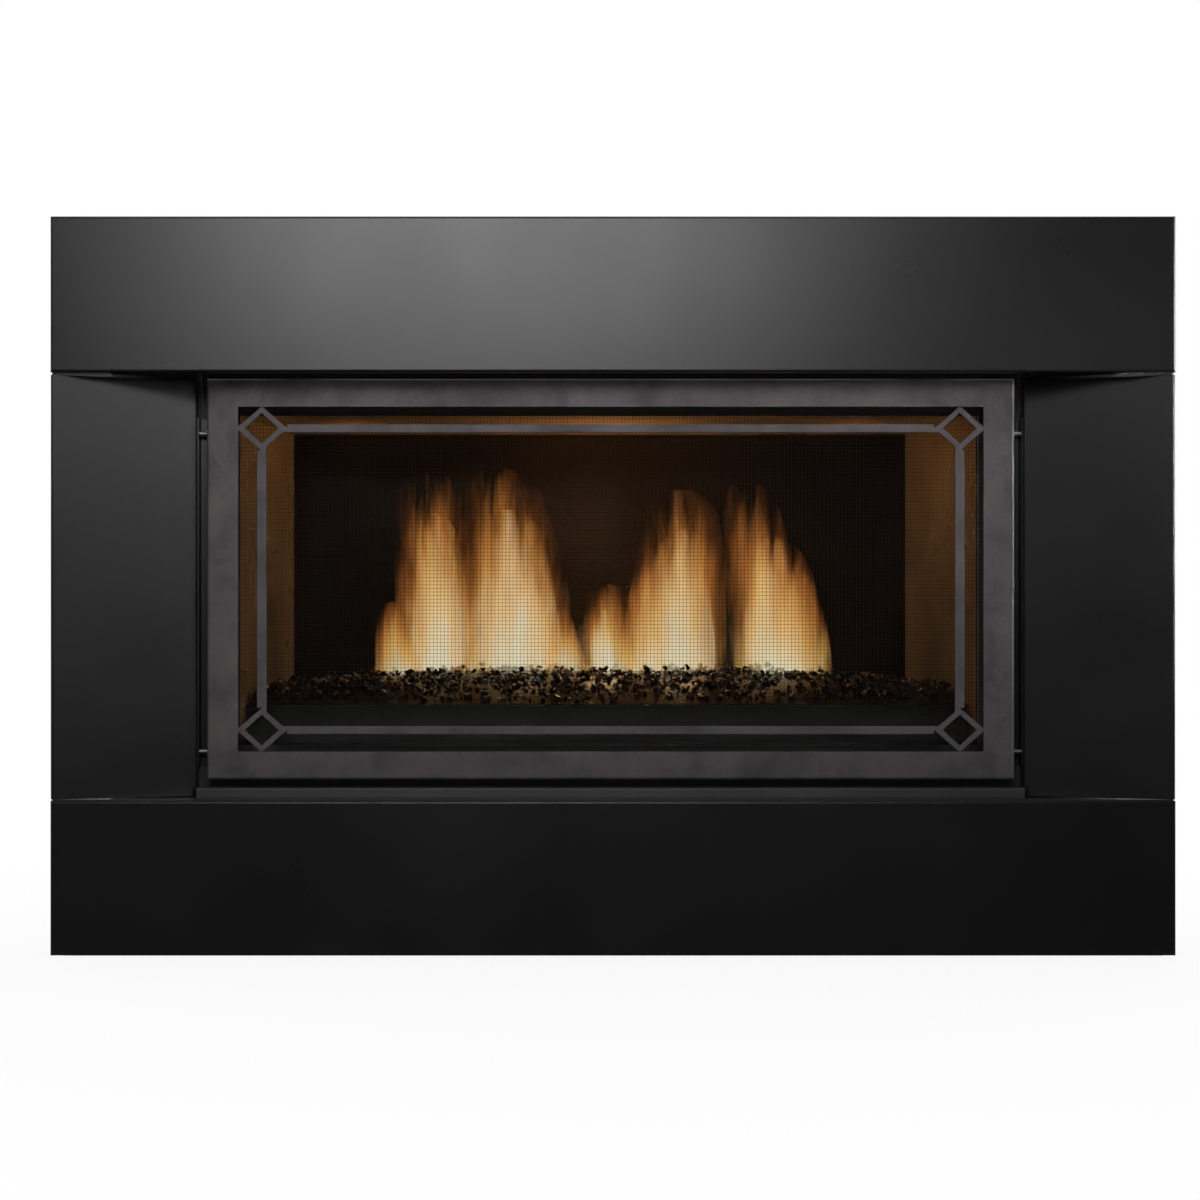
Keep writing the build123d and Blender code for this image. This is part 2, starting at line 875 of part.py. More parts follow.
def splayed_plan(margin, depth0, depth1):
    """Plan of the firebox between two depths, widened by a margin each side."""
    front = liner_half(depth0) + margin
    back = liner_half(depth1) + margin
    return outline((-front, depth0), (front, depth0), (back, depth1), (-back, depth1))


def make_firebox():
    """Welded firebox: splayed box, front flange and the recess that holds the glass."""
    back_inner = firebox_back + liner_thickness
    skin = liner_thickness + shell_gauge
    shell = along_z(
        splayed_plan(skin, firebox_front, back_inner + shell_gauge),
        firebox_floor - shell_gauge,
        firebox_ceiling + shell_gauge,
    )
    shell -= along_z(
        splayed_plan(liner_thickness, firebox_front, back_inner), firebox_floor, firebox_ceiling
    )
    rim_half = window_half + shell_gauge
    rim = span(-rim_half, rim_half, recess_bottom - shell_gauge, recess_top + shell_gauge)
    mouth = span(-box_opening_half, box_opening_half, opening_bottom, opening_top)
    shell += along_y(rim - mouth, flange_depth, firebox_front)
    recess = span(-window_half, window_half, recess_bottom, recess_top)
    shell += along_y(rim - recess, face_back, flange_depth)
    over = firebox_ceiling + shell_gauge
    for x in (-collar_spacing / 2, collar_spacing / 2):
        shell -= rod_z(collar_radius - collar_gauge, firebox_ceiling, over, x, collar_depth)
    for x in (-relief_spacing / 2, relief_spacing / 2):
        port = Pos(x, relief_port_middle) * Rectangle(relief_port_width, relief_port_depth)
        shell -= along_z(port, firebox_ceiling, over)
    shell -= rod_z(tube_radius, firebox_floor - shell_gauge, firebox_floor, 0, burner_depth)
    add("firebox_shell", shell)


def make_liners():
    """Reflective side liners, back liner and the slotted ceiling baffle."""
    side = outline(
        (liner_half(firebox_front), firebox_front),
        (liner_half(firebox_front) + liner_thickness, firebox_front),
        (liner_half(firebox_back) + liner_thickness, firebox_back),
        (liner_half(firebox_back), firebox_back),
    )
    right, left = both_sides(along_z(side, firebox_floor, baffle_height))
    add("side_liner_right", right)
    add("side_liner_left", left)
    rear = splayed_plan(liner_thickness, firebox_back, firebox_back + liner_thickness)
    add("back_liner", along_z(rear, firebox_floor, baffle_height))

    baffle = along_z(
        splayed_plan(liner_thickness, firebox_front, firebox_back + liner_thickness),
        baffle_height,
        baffle_height + baffle_thickness,
    )
    slot = SlotOverall(baffle_slot_length, baffle_slot_width)
    for i in range(baffle_slot_count):
        x = (i - (baffle_slot_count - 1) / 2) * baffle_slot_pitch
        place = Pos(x, firebox_back - baffle_slot_inset)
        baffle -= along_z(place * slot, baffle_height, baffle_height + baffle_thickness)
    add("ceiling_baffle", baffle)


# --------------------------------------------------------------------- glass
def glass_face(inset):
    """The glass frame's outline drawn in by an inset."""
    return span(-glass_half + inset, glass_half - inset, glass_low + inset, glass_high - inset)


def make_glass():
    """Ceramic glass in its angle frame, sealed to the firebox flange by a gasket."""
    gauge = glass_frame_gauge
    leg_back = glass_frame_depth + gauge
    sight = span(-box_opening_half, box_opening_half, opening_bottom, opening_top)
    frame = along_y(glass_face(0) - sight, glass_frame_depth, leg_back)
    wall = glass_face(0) - glass_face(gauge)
    frame += along_y(wall, leg_back, glass_frame_depth + glass_frame_reach)
    add("glass_frame", frame)

    edge = gauge + glass_edge_gap
    pane_back = leg_back + glass_thickness
    add("glass_panel", along_y(glass_face(edge), leg_back, pane_back))
    seal = glass_face(edge) - glass_face(edge + gasket_width)
    add("glass_gasket", along_y(seal, pane_back, flange_depth))


def make_turn_buttons():
    """Turn buttons on posts over the glass frame, and the ledges that carry its foot."""
    level = turn_post_height
    button_back = glass_frame_depth - turn_face_gap
    button_front = button_back - turn_button_gauge
    cap_back = button_front - turn_cap_gap
    shoulder = button_back + turn_cap_gap
    half = turn_button_width / 2
    nose = level - turn_button_reach + half
    fixed = []
    for name, x in (("left", -turn_post_spacing / 2), ("right", turn_post_spacing / 2)):
        blank = Pos(x, level) * Circle(half) + Pos(x, nose) * Circle(half)
        blank += span(x - half, x + half, nose, level)
        blank -= Pos(x, level) * Circle(turn_button_bore + turn_button_gap)
        add("turn_button_" + name, along_y(blank, button_front, button_back))
        post = rod_y(turn_post_radius, shoulder, flange_depth, x, level)
        post += rod_y(turn_button_bore, cap_back, shoulder, x, level)
        post += rod_y(turn_post_radius, cap_back - turn_post_cap, cap_back, x, level)
        fixed.append(post)
    ledge_front = glass_frame_depth - bracket_gauge
    ledge_top = glass_low + 2 * bracket_gauge
    ledge = outline(
        (ledge_front - bracket_gauge, glass_low - bracket_gauge),
        (flange_depth, glass_low - bracket_gauge),
        (flange_depth, glass_low),
        (ledge_front, glass_low),
        (ledge_front, ledge_top),
        (ledge_front - bracket_gauge, ledge_top),
    )
    inner = (turn_post_spacing - ledge_width) / 2
    fixed.extend(both_sides(along_x(ledge, inner, inner + ledge_width)))
    add("glass_fixings", fixed)


# -------------------------------------------------------------------- burner
def make_tray():
    """Burner tray that fills the firebox between the splayed liners, with a front lip."""
    gap = tray_side_gap
    tray = along_z(splayed_plan(-gap, tray_front, tray_back), firebox_floor, tray_top)
    tray -= along_z(
        splayed_plan(-gap - tray_gauge, tray_front + tray_gauge, tray_back - tray_gauge),
        firebox_floor + tray_gauge,
        tray_top,
    )
    tray += along_z(
        splayed_plan(-gap, tray_front - tray_lip, tray_front), tray_top - tray_gauge, tray_top
    )
    tray -= rod_z(tube_radius, firebox_floor, firebox_floor + tray_gauge, 0, burner_depth)
    add("burner_tray", tray)


def make_burner():
    """Linear burner: a closed rounded trough with two rows of ports along its top."""
    half = burner_length / 2
    middle = Pos(burner_depth, burner_bottom + burner_height / 2)
    outer = middle * RectangleRounded(burner_width, burner_height, burner_corner)
    body = along_x(outer, -half, half)
    body -= along_x(offset(outer, amount=-burner_gauge), -half + burner_gauge, half - burner_gauge)
    top = burner_bottom + burner_height
    slot = SlotOverall(port_length, port_width)
    for i in range(port_count):
        x = (i - (port_count - 1) / 2) * port_pitch
        for depth in (burner_depth - port_row_offset, burner_depth + port_row_offset):
            body -= along_z(Pos(x, depth) * slot, top - burner_gauge, top)
    body -= rod_z(tube_radius, burner_bottom, burner_bottom + burner_gauge, 0, burner_depth)
    add("burner", body)


def make_media():
    """Slotted grate over the burner and the mound of crushed media on it."""
    edge = -tray_side_gap - tray_gauge - grate_fit
    front = tray_front + tray_gauge + grate_fit
    back = tray_back - tray_gauge - grate_fit
    grate = along_z(splayed_plan(edge, front, back), grate_bottom, media_bottom)
    slot = Rectangle(grate_slot_length, grate_slot_width)
    for i in range(grate_slot_count):
        x = (i - (grate_slot_count - 1) / 2) * grate_slot_pitch
        for depth in (tray_front + grate_slot_front_inset, tray_back - grate_slot_back_inset):
            grate -= along_z(Pos(x, depth) * slot, grate_bottom, media_bottom)
    add("media_grate", grate)

    crest = media_bottom + media_crest
    half = liner_half(front) + edge
    crest_depth = burner_depth + media_crest_offset
    side = heap((front, media_front), (crest_depth, media_crest), (back, media_back))
    face = heap((-half, media_end), (0, media_crest), (half, media_end))
    mound = along_x(side, -half, half) & along_y(face, front, back)
    mound &= along_z(splayed_plan(edge - media_fit, front, back), media_bottom, crest)
    mound -= slab(
        (pilot_x - pilot_pocket / 2, pilot_x + pilot_pocket / 2),
        (back - pilot_pocket / 2, back),
        (media_bottom, crest),
    )
    add("media_bed", mound)


def heap(start, crest, end):
    """Section of a heap on the grate: upright ends joined by an arc over its crest."""
    arc = ThreePointArc(*[(place, media_bottom + rise) for place, rise in (start, crest, end)])
    foot = Polyline(arc @ 1, (end[0], media_bottom), (start[0], media_bottom), arc @ 0)
    return make_face(arc + foot)


def make_pilot():
    """Pilot: bracket, hood, flame sensor and spark rod in the pocket behind the media."""
    depth = tray_back - tray_gauge - grate_fit - pilot_pocket / 4
    half = pilot_pocket / 2 - pilot_foot_inset
    near = depth - pilot_hood_radius
    base = media_bottom + pilot_foot_gauge
    top = base + pilot_height
    far = depth + pilot_hood_radius
    bracket = slab((pilot_x - half, pilot_x + half), (near, far), (media_bottom, base))
    hood = rod_z(pilot_hood_radius, base, top, pilot_x, depth)
    bore = pilot_hood_radius - pilot_hood_wall
    hood -= rod_z(bore, base, top - pilot_hood_roof, pilot_x, depth)
    hood -= slab(
        (pilot_x - pilot_hood_radius, pilot_x + pilot_hood_radius),
        (near, depth),
        (base + pilot_height / 2, top - pilot_port_drop),
    )
    sensor = rod_z(pilot_rod_radius, base, top + sensor_rise, pilot_x - pilot_rod_offset, depth)
    spark = rod_z(pilot_rod_radius, base, top + spark_rise, pilot_x + pilot_rod_offset, depth)
    add("pilot_assembly", bracket, hood, sensor, spark)


# -------------------------------------------------------------- flue and air
def make_collars():
    """Exhaust and intake collars: tubes with a flange on the casing and a stop bead."""
    outer = collar_radius
    inner = collar_radius - collar_gauge
    low = firebox_ceiling + shell_gauge
    high = casing_top + collar_length
    bead = collar_seat + collar_bead_rise
    section = outline(
        (inner, low),
        (outer, low),
        (outer, casing_top),
        (outer + collar_flange, casing_top),
        (outer + collar_flange, collar_seat),
        (outer, collar_seat),
        (outer, bead - 2 * collar_bead),
        (outer + collar_bead, bead),
        (outer, bead + 2 * collar_bead),
        (outer, high),
        (inner, high),
    )
    tube = revolve(Plane.XZ * section, Axis.Z)
    places = [Pos(x, at_depth(collar_depth), 0) for x in (-collar_spacing / 2, collar_spacing / 2)]
    add("flue_collars", [place * tube for place in places])


def make_relief_flaps():
    """Weighted relief flaps over the ports in the firebox top, and their hinge lugs."""
    seat = firebox_ceiling + shell_gauge
    barrel = relief_barrel_radius
    half = relief_port_width / 2 + relief_overlap
    front = relief_port_middle - relief_port_depth / 2 - relief_overlap
    depth = relief_port_middle + relief_port_depth / 2 + relief_overlap + barrel
    level = seat + barrel
    bore = relief_pin_radius + relief_pin_gap
    ear = Pos(depth, level) * Circle(barrel) + span(depth - barrel, depth + barrel, seat, level)
    lugs = []
    for name, x in (("left", -relief_spacing / 2), ("right", relief_spacing / 2)):
        left = x - half
        right = x + half
        flap = slab((left, right), (front, depth), (seat, seat + relief_gauge))
        flap += rod_x(barrel, left, right, depth, level)
        flap -= rod_x(bore, left, right, depth, level)
        add("relief_flap_" + name, flap)
        lug = rod_x(relief_pin_radius, left - relief_ear, right + relief_ear, depth, level)
        lug += along_x(ear, left - relief_ear, left - relief_end_gap)
        lug += along_x(ear, right + relief_end_gap, right + relief_ear)
        lugs.append(lug)
    add("flap_hinges", lugs)


# ------------------------------------------------------------------ controls
def hex_fitting(start, direction, length):
    """Compression nut along an axis, with the tube's bore through it."""
    plane = Plane(origin=start, z_dir=direction)
    section = RegularPolygon(fitting_across / 2, 6, major_radius=False) - Circle(tube_radius)
    return extrude(plane * section, length)


def tube_along(points):
    """Thin-walled gas tube swept along straight runs and bends."""
    route = FilletPolyline(*points, radius=tube_bend)
    start = Plane(origin=route @ 0, z_dir=route % 0)
    return sweep(start * (Circle(tube_radius) - Circle(tube_radius - tube_wall)), path=route)


def make_valve():
    """Gas valve body with its knob spindles' sockets, on a pedestal."""
    left = valve_x - valve_width / 2
    right = valve_x + valve_width / 2
    near = valve_depth_front
    far = valve_depth_back
    body = slab((left, right), (near, far), (valve_bottom, valve_top))
    body = fillet(body.edges().filter_by(Axis.Y), valve_round)
    body += slab(
        (left + valve_foot_inset, right - valve_foot_inset),
        (near + valve_foot_setback, far - valve_foot_setback),
        (casing_floor, valve_bottom),
    )
    dome_top = valve_top + valve_dome_height
    body += rod_z(valve_dome_radius, valve_top, dome_top, valve_x, valve_depth)
    neck = near - valve_neck_length
    socket_end = near + spindle_depth + spindle_end_gap
    for x in (flame_knob_x, pilot_knob_x):
        body += rod_y(valve_neck_radius, neck, near, x, knob_height)
        body -= rod_y(spindle_radius + spindle_gap, neck, socket_end, x, knob_height)
    add("gas_valve", body)


def make_control_plate():
    """Control plate: an upright sheet with a foot, pierced for what it carries."""
    front = control_plate_depth
    back = front + control_plate_gauge
    foot_back = back + control_plate_foot
    foot_top = casing_floor + control_plate_gauge
    section = outline(
        (front, casing_floor),
        (foot_back, casing_floor),
        (foot_back, foot_top),
        (back, foot_top),
        (back, control_top),
        (front, control_top),
    )
    plate = along_x(section, control_plate_left, control_plate_right)
    notch_half = valve_width / 2 - valve_foot_notch
    plate -= slab(
        (valve_x - notch_half, valve_x + notch_half), (back, foot_back), (casing_floor, foot_top)
    )
    holes = [
        (flame_knob_x, valve_neck_radius + valve_neck_hole_gap),
        (pilot_knob_x, valve_neck_radius + valve_neck_hole_gap),
        (button_x, button_radius + button_barrel_wall),
        (speed_x, spindle_radius + spindle_hole_gap),
    ]
    for x, radius in holes:
        plate -= rod_y(radius, front, back, x, knob_height)
    plate -= along_y(rocker_face(rocker_wall + rocker_side_gap), front, back)
    add("control_plate", plate)


def make_knobs():
    """Two valve knobs and the fan speed knob, each turned with its spindle."""
    back = control_plate_depth - knob_gap
    front = back - knob_length
    socket_end = valve_depth_front + spindle_depth
    add("flame_knob", fluted_knob(flame_knob_x, knob_radius, front, back, socket_end))
    add("pilot_knob", fluted_knob(pilot_knob_x, knob_radius, front, back, socket_end))
    speed_end = control_plate_depth + spindle_depth
    add("speed_knob", fluted_knob(speed_x, speed_knob_radius, front, back, speed_end))


def fluted_knob(x, radius, front, back, spindle_end):
    """Round knob with finger flutes, a pointer rib and its spindle."""
    knob = rod_y(radius, front, back, x, knob_height)
    knob = fillet(knob.edges().group_by(Axis.Y)[0], knob_round)
    for spot in PolarLocations(radius + knob_flute_offset, knob_flutes):
        flute = Pos(x, knob_height) * spot * Circle(knob_flute_radius)
        knob -= along_y(flute, front, back - knob_skirt)
    knob += slab(
        (x - knob_pointer_width / 2, x + knob_pointer_width / 2),
        (front - knob_pointer_rise, front),
        (knob_height, knob_height + radius - knob_pointer_inset),
    )
    knob += rod_y(spindle_radius, back, spindle_end, x, knob_height)
    return knob


def igniter_barrel():
    """Barrel that guides the igniter's push button."""
    front = control_plate_depth
    rim = front - button_rim_gauge
    guide_back = front + button_guide
    barrel = rod_y(button_radius + button_barrel_wall, rim, guide_back, button_x, knob_height)
    barrel += rod_y(button_radius + button_barrel_rim, rim, front, button_x, knob_height)
    bore = button_radius + spindle_gap
    return barrel - rod_y(bore, rim, guide_back - button_end_wall, button_x, knob_height)


def make_igniter():
    """Push button that slides in the igniter's barrel."""
    front = control_plate_depth
    button_back = front + button_guide - button_end_wall - button_stroke - button_end_gap
    button = rod_y(button_radius, front - button_proud, button_back, button_x, knob_height)
    button = fillet(button.edges().group_by(Axis.Y)[0], button_round)
    add("igniter_button", button)


def rocker_face(margin):
    """The rocker's face drawn out by a margin."""
    face = Rectangle(rocker_width + 2 * margin, rocker_height + 2 * margin)
    return Pos(rocker_x, knob_height) * face


def make_control_bodies():
    """Bodies of the rocker switch, the speed control and the igniter on the plate."""
    front = control_plate_depth
    rim = front - rocker_bezel_gauge
    switch = along_y(rocker_face(rocker_bezel), rim, front)
    switch += along_y(rocker_face(rocker_wall + rocker_side_gap), front, front + rocker_depth)
    switch -= along_y(rocker_face(rocker_side_gap), rim, front + rocker_well)
    half = rocker_width / 2 + rocker_side_gap
    pivot = front + rocker_pin_depth
    switch += rod_x(rocker_pin_radius, rocker_x - half, rocker_x + half, pivot, knob_height)
    near = front + control_plate_gauge
    can = rod_y(speed_body_radius, near, near + speed_body_depth, speed_x, knob_height)
    socket_end = front + spindle_depth + spindle_end_gap
    can -= rod_y(spindle_radius + spindle_gap, near, socket_end, speed_x, knob_height)
    add("control_bodies", switch, can, igniter_barrel())


def make_switch():
    """Rocker that tips on a pin inside its switch body."""
    front = control_plate_depth
    face = front - rocker_proud
    half = rocker_width / 2
    reach = rocker_height / 2 - rocker_edge
    foot = front + rocker_foot_depth
    rocker = outline(
        (foot, knob_height - rocker_foot_reach),
        (front - rocker_edge, knob_height - reach),
        (face - rocker_edge, knob_height - reach),
        (face + rocker_edge, knob_height),
        (face - rocker_edge, knob_height + reach),
        (front - rocker_edge, knob_height + reach),
        (foot, knob_height + rocker_foot_reach),
    )
    pivot = Pos(front + rocker_pin_depth, knob_height)
    rocker -= pivot * Circle(rocker_pin_radius + rocker_pin_gap)
    rocker = pivot * Rot(0, 0, -rocker_tilt) * pivot.inverse() * rocker
    add("rocker_switch", along_x(rocker, rocker_x - half, rocker_x + half))


def make_shutoff():
    """Shut-off valve beside the gas inlet, and the lever on its stem."""
    depth = shutoff_depth
    level = shutoff_height
    body_end = casing_half + shutoff_stub
    body_start = body_end - shutoff_length
    body = rod_x(shutoff_radius, body_start, body_end, depth, level)
    body -= rod_x(gas_thread_radius, body_end - gas_thread_length, body_end, depth, level)
    stem_x = body_start + stem_inset
    stem_top = level + shutoff_radius + stem_boss_rise
    body += rod_z(stem_boss_radius, level, stem_top, stem_x, depth)
    body -= rod_z(stem_radius + stem_gap, level, stem_top, stem_x, depth)
    add("shutoff_valve", body)

    tip = stem_x - lever_length
    low = stem_top + lever_gap
    blade = Pos(stem_x, depth) * Circle(lever_eye) + Pos(tip, depth) * Circle(lever_width / 2)
    blade += span(tip, stem_x, depth - lever_width / 2, depth + lever_width / 2)
    lever = along_z(blade, low, low + lever_gauge)
    lever += rod_z(stem_radius, level + stem_end_gap, low, stem_x, depth)
    add("shutoff_lever", lever)


def make_gas_line():
    """Supply tube from the shut-off valve, and the burner tube, with their nuts."""
    level = shutoff_height
    far = at_depth(shutoff_depth)
    near = at_depth(valve_depth)
    under_burner = at_depth(burner_depth)
    start = casing_half + shutoff_stub - shutoff_length
    left = valve_x - valve_width / 2
    right = valve_x + valve_width / 2
    supply = tube_along([
        (start, far, level),
        (left - tube_run_out, far, level),
        (left - tube_run_out, near, level),
        (left, near, level),
    ])
    nuts = [
        hex_fitting((start - fitting_length, far, level), (1, 0, 0), fitting_length),
        hex_fitting((left - fitting_length, near, level), (1, 0, 0), fitting_length),
    ]
    add("supply_tube", supply, nuts)
    burner = tube_along([
        (right, near, level),
        (0, near, level),
        (0, under_burner, level),
        (0, under_burner, burner_bottom + burner_gauge),
    ])
    under_floor = firebox_floor - shell_gauge - fitting_length
    nuts = [
        hex_fitting((right, near, level), (1, 0, 0), fitting_length),
        hex_fitting((0, under_burner, under_floor), (0, 0, 1), fitting_length),
    ]
    add("burner_tube", burner, nuts)


# -------------------------------------------------------------------- blower
def make_blower():
    """Cross-flow blower: scroll housing, bladed rotor and end motor."""
    left = blower_left
    right = blower_left + blower_length
    centre = (blower_depth, blower_height)
    front = blower_depth - scroll_radius
    back = blower_depth + scroll_radius
    high = blower_height + scroll_radius + scroll_throat
    scroll = Pos(*centre) * Circle(scroll_radius)
    scroll += span(blower_depth, back, blower_height, high)
    scroll -= Pos(*centre) * Circle(scroll_radius - scroll_gauge)
    scroll -= span(blower_depth, back - scroll_gauge, blower_height, high)
    scroll -= span(front, blower_depth, blower_height - scroll_tongue, blower_height + scroll_radius)
    housing = along_x(scroll, left, right)
    cheek = span(front, back, casing_floor, high)
    cheek -= Pos(*centre) * Circle(rotor_shaft_radius + rotor_shaft_gap)
    housing += along_x(cheek, left - scroll_gauge, left)
    housing += along_x(cheek, right, right + scroll_gauge)
    add("blower_housing", housing)

    rotor_left = left + blower_end_gap
    rotor_right = right - blower_end_gap
    last_disc = rotor_right - rotor_disc_gauge
    disc_radius = rotor_radius - rotor_blade_depth / 2
    rotor = rod_x(rotor_shaft_radius, left - rotor_shaft_left, right + rotor_shaft_right, *centre)
    for x in (rotor_left, (rotor_left + last_disc) / 2, last_disc):
        rotor += rod_x(disc_radius, x, x + rotor_disc_gauge, *centre)
    strip = Rectangle(rotor_blade_depth, rotor_blade_gauge)
    blade = Pos(disc_radius, 0) * Rot(0, 0, rotor_blade_pitch) * strip
    for turn in PolarLocations(0, rotor_blades):
        rotor += along_x(Pos(*centre) * turn * blade, rotor_left, rotor_right)
    add("blower_rotor", rotor)

    near_end = right + scroll_gauge
    far_end = near_end + motor_length
    motor = rod_x(motor_radius, near_end, far_end, *centre)
    motor = fillet(motor.edges().group_by(Axis.X)[-1], motor_round)
    motor += slab(
        (near_end + motor_foot_inset, far_end - motor_foot_inset),
        (blower_depth - motor_foot_width / 2, blower_depth + motor_foot_width / 2),
        (casing_floor, blower_height),
    )
    motor -= rod_x(rotor_shaft_radius + motor_bore_gap, near_end, near_end + motor_bore_depth, *centre)
    add("blower_motor", motor)


def make_junction_box():
    """Junction box and its cover beside the cable entry."""
    left = box_right - box_width
    front = control_plate_depth
    heights = (casing_floor, casing_floor + box_height)
    block = slab((left, box_right), (front, front + box_depth), heights)
    shell = offset(block, amount=-box_gauge, openings=block.faces().sort_by(Axis.Y)[0])
    cover = slab((left, box_right), (front - box_gauge, front), heights)
    add("junction_box", shell, cover)


# -------------------------------------------------------------------- screws
def make_screws():
    """Screw heads that fasten the base frame, hanger brackets and header straps."""
    strap = header_bracket_spacing / 2
    hanger = throat_half - bracket_foot / 2
    bracket_seat = casing_front - bracket_gauge
    shelf_seat = casing_front - surround_gauge
    strap_height = casing_top - casing_gauge - (header_bracket_drop + bracket_gauge) / 2
    shelf_height = shelf_top - shelf_rear_flange / 2
    low = front_bottom + bracket_above_foot + bracket_screw_inset
    high = front_top - bracket_below_head - bracket_screw_inset
    spots = [(strap, strap_height, bracket_seat)]
    spots += [(hanger, height, bracket_seat) for height in (low, high)]
    spots += [(x, shelf_height, shelf_seat) for x in (screw_inner, screw_outer)]
    heads = []
    for x, z, seat in spots:
        head = rod_y(screw_head_radius, seat - screw_head_height, seat, x, z)
        heads.extend(both_sides(fillet(head.edges().group_by(Axis.Y)[0], screw_head_round)))
    add("case_screws", heads)


def make_all():
    """Build every sub-part of the unit."""
    for make in (
        make_header, make_side_panels, make_access_panel, make_base_frame, make_sill,
        make_header_brackets, make_hangers, make_magnets, make_front_frame, make_screen,
        make_face_frame, make_casing, make_feet, make_standoffs, make_firebox, make_liners,
        make_glass, make_turn_buttons, make_tray, make_burner, make_media, make_pilot,
        make_collars, make_relief_flaps, make_valve, make_control_plate, make_knobs,
        make_igniter, make_control_bodies, make_switch, make_shutoff, make_gas_line,
        make_blower, make_junction_box, make_screws,
    ):
        make()


make_all()
os.makedirs("parts", exist_ok=True)
for node, shape in parts.items():
    export_step(shape, f"parts/{node}.step")
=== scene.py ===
"""Finishes, woven screen, crushed media, flames and studio of the built-in fireplace insert."""

import json
import math
import random
from collections import namedtuple

import bmesh
import bpy
from mathutils import Euler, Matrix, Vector
from mathutils.bvhtree import BVHTree


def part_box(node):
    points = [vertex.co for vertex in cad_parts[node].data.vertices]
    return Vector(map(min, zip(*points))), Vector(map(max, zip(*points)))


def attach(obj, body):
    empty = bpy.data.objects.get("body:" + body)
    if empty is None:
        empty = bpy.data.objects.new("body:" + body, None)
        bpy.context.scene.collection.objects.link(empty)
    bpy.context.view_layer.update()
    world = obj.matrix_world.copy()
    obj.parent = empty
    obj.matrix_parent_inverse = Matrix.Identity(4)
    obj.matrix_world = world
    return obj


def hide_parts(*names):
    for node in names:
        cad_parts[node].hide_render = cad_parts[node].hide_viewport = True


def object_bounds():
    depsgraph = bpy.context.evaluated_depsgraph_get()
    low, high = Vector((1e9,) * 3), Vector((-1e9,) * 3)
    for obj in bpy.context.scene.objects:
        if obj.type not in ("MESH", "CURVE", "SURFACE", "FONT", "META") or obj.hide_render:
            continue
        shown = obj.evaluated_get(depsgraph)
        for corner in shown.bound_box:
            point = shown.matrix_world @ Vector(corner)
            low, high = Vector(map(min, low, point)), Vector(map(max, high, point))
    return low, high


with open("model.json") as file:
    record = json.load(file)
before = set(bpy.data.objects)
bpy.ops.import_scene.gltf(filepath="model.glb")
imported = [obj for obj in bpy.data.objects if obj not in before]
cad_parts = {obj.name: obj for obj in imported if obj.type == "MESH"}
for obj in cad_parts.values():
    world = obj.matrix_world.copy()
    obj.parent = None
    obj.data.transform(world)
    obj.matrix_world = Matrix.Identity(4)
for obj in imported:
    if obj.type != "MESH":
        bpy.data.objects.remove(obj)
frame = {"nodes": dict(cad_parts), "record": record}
cad_low, cad_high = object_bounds()

chance = random.Random(36)

# Sizes and places in metres, counts, and shares ------------------------------------------
FRONT_PLANE = cad_low[1]

WIRE_PITCH = 0.0044
WIRE_RADIUS = 0.00026
WIRE_SIDES = 3

# Painted shade: a black ribbon put in each dark slot between the surround and the casing.
SHADE_RIBBON_LOW, SHADE_RIBBON_HIGH = 0.215, 0.740
SHADE_RIBBON_MIDDLE = 0.5165
SHADE_RIBBON_WIDE, SHADE_RIBBON_THICK = 0.022, 0.0065
SHADE_RIBBON_LAP = 0.006
LAP_FROM, LAP_RISE = 0.653, 0.012
SHADE_RIBBON_RIPPLE, SHADE_RIBBON_PINCH = 74.0, 0.06
SHADE_RIBBON_LINE = FRONT_PLANE + 0.0945

# Painted shade: thin black strips that fill the dark seams under the header and over the shelf, near the
# outer corners.
SEAM_INNER, SEAM_OUTER = 0.600, 0.6682
SEAM_FRONT, SEAM_BACK = FRONT_PLANE + 0.004, FRONT_PLANE + 0.026
SEAM_ROUND, SEAM_EDGE_SHARE = 0.001, 0.7
SEAM_RIPPLE, SEAM_SQUASH = 310.0, 0.08
HEADER_SEAM = (0.6945, 0.6969)
SHELF_SEAM = (0.1871, 0.1884)

CHIP_SHAPES = 28
CHIP_CORNERS = 11
CHIP_FLATNESS = 0.62
CHIP_COUNT = 3400
CHIP_SMALL, CHIP_LARGE = 0.0075, 0.0155
CHIP_SINK, CHIP_PERCH = 0.18, 1.3
CHIP_TILT = 0.9
LYING_SHARE, DARK_SHARE = 0.8, 0.62

FIRE_LINE = FRONT_PLANE + 0.285
FLAME_FOOT = 0.332
CURTAIN_GAP = 0.012
CURTAIN_THICK = 0.011
CURTAIN_LEAST = 0.0004
CROWN_FROM = 0.8
GLOW_AHEAD = 0.01

FLOOR_REACH = 9
WHITE_FROM, WHITE_PAST = 0.8, 1.8
EYE_PLACE = (-0.131, -3.24, 0.3665)

# The photo in its own pixels: its width and height, the focal length, and the point straight ahead.
PHOTO_PIXELS = 1200
FOCAL_PIXELS = 2521
AHEAD_COLUMN, AHEAD_ROW = 503, 650

FULL_TURN = 2 * math.pi
DUST_TONE = (0.32, 0.3, 0.27, 1.0)
METAL_DUST_TONE = (0.3, 0.28, 0.25, 1.0)


# Node trees ------------------------------------------------------------------------------
def put(tree, kind, feeds=None, **settings):
    """Adds one shader node; a feed is a socket to link or a value to set."""
    made = tree.nodes.new(kind)
    for label, value in settings.items():
        setattr(made, label, value)
    for label, value in (feeds or {}).items():
        if isinstance(value, bpy.types.NodeSocket):
            tree.links.new(value, made.inputs[label])
        else:
            made.inputs[label].default_value = value
    return made


def calc(tree, operation, *values, clamp=False):
    """One sum of sockets or plain values."""
    feeds = dict(enumerate(values))
    return put(tree, "ShaderNodeMath", feeds, operation=operation, use_clamp=clamp).outputs[0]


def stretched(tree, place, factors):
    """A place whose three coordinates are multiplied by their own factors."""
    return put(tree, "ShaderNodeVectorMath", {0: place, 1: factors}, operation="MULTIPLY").outputs[0]


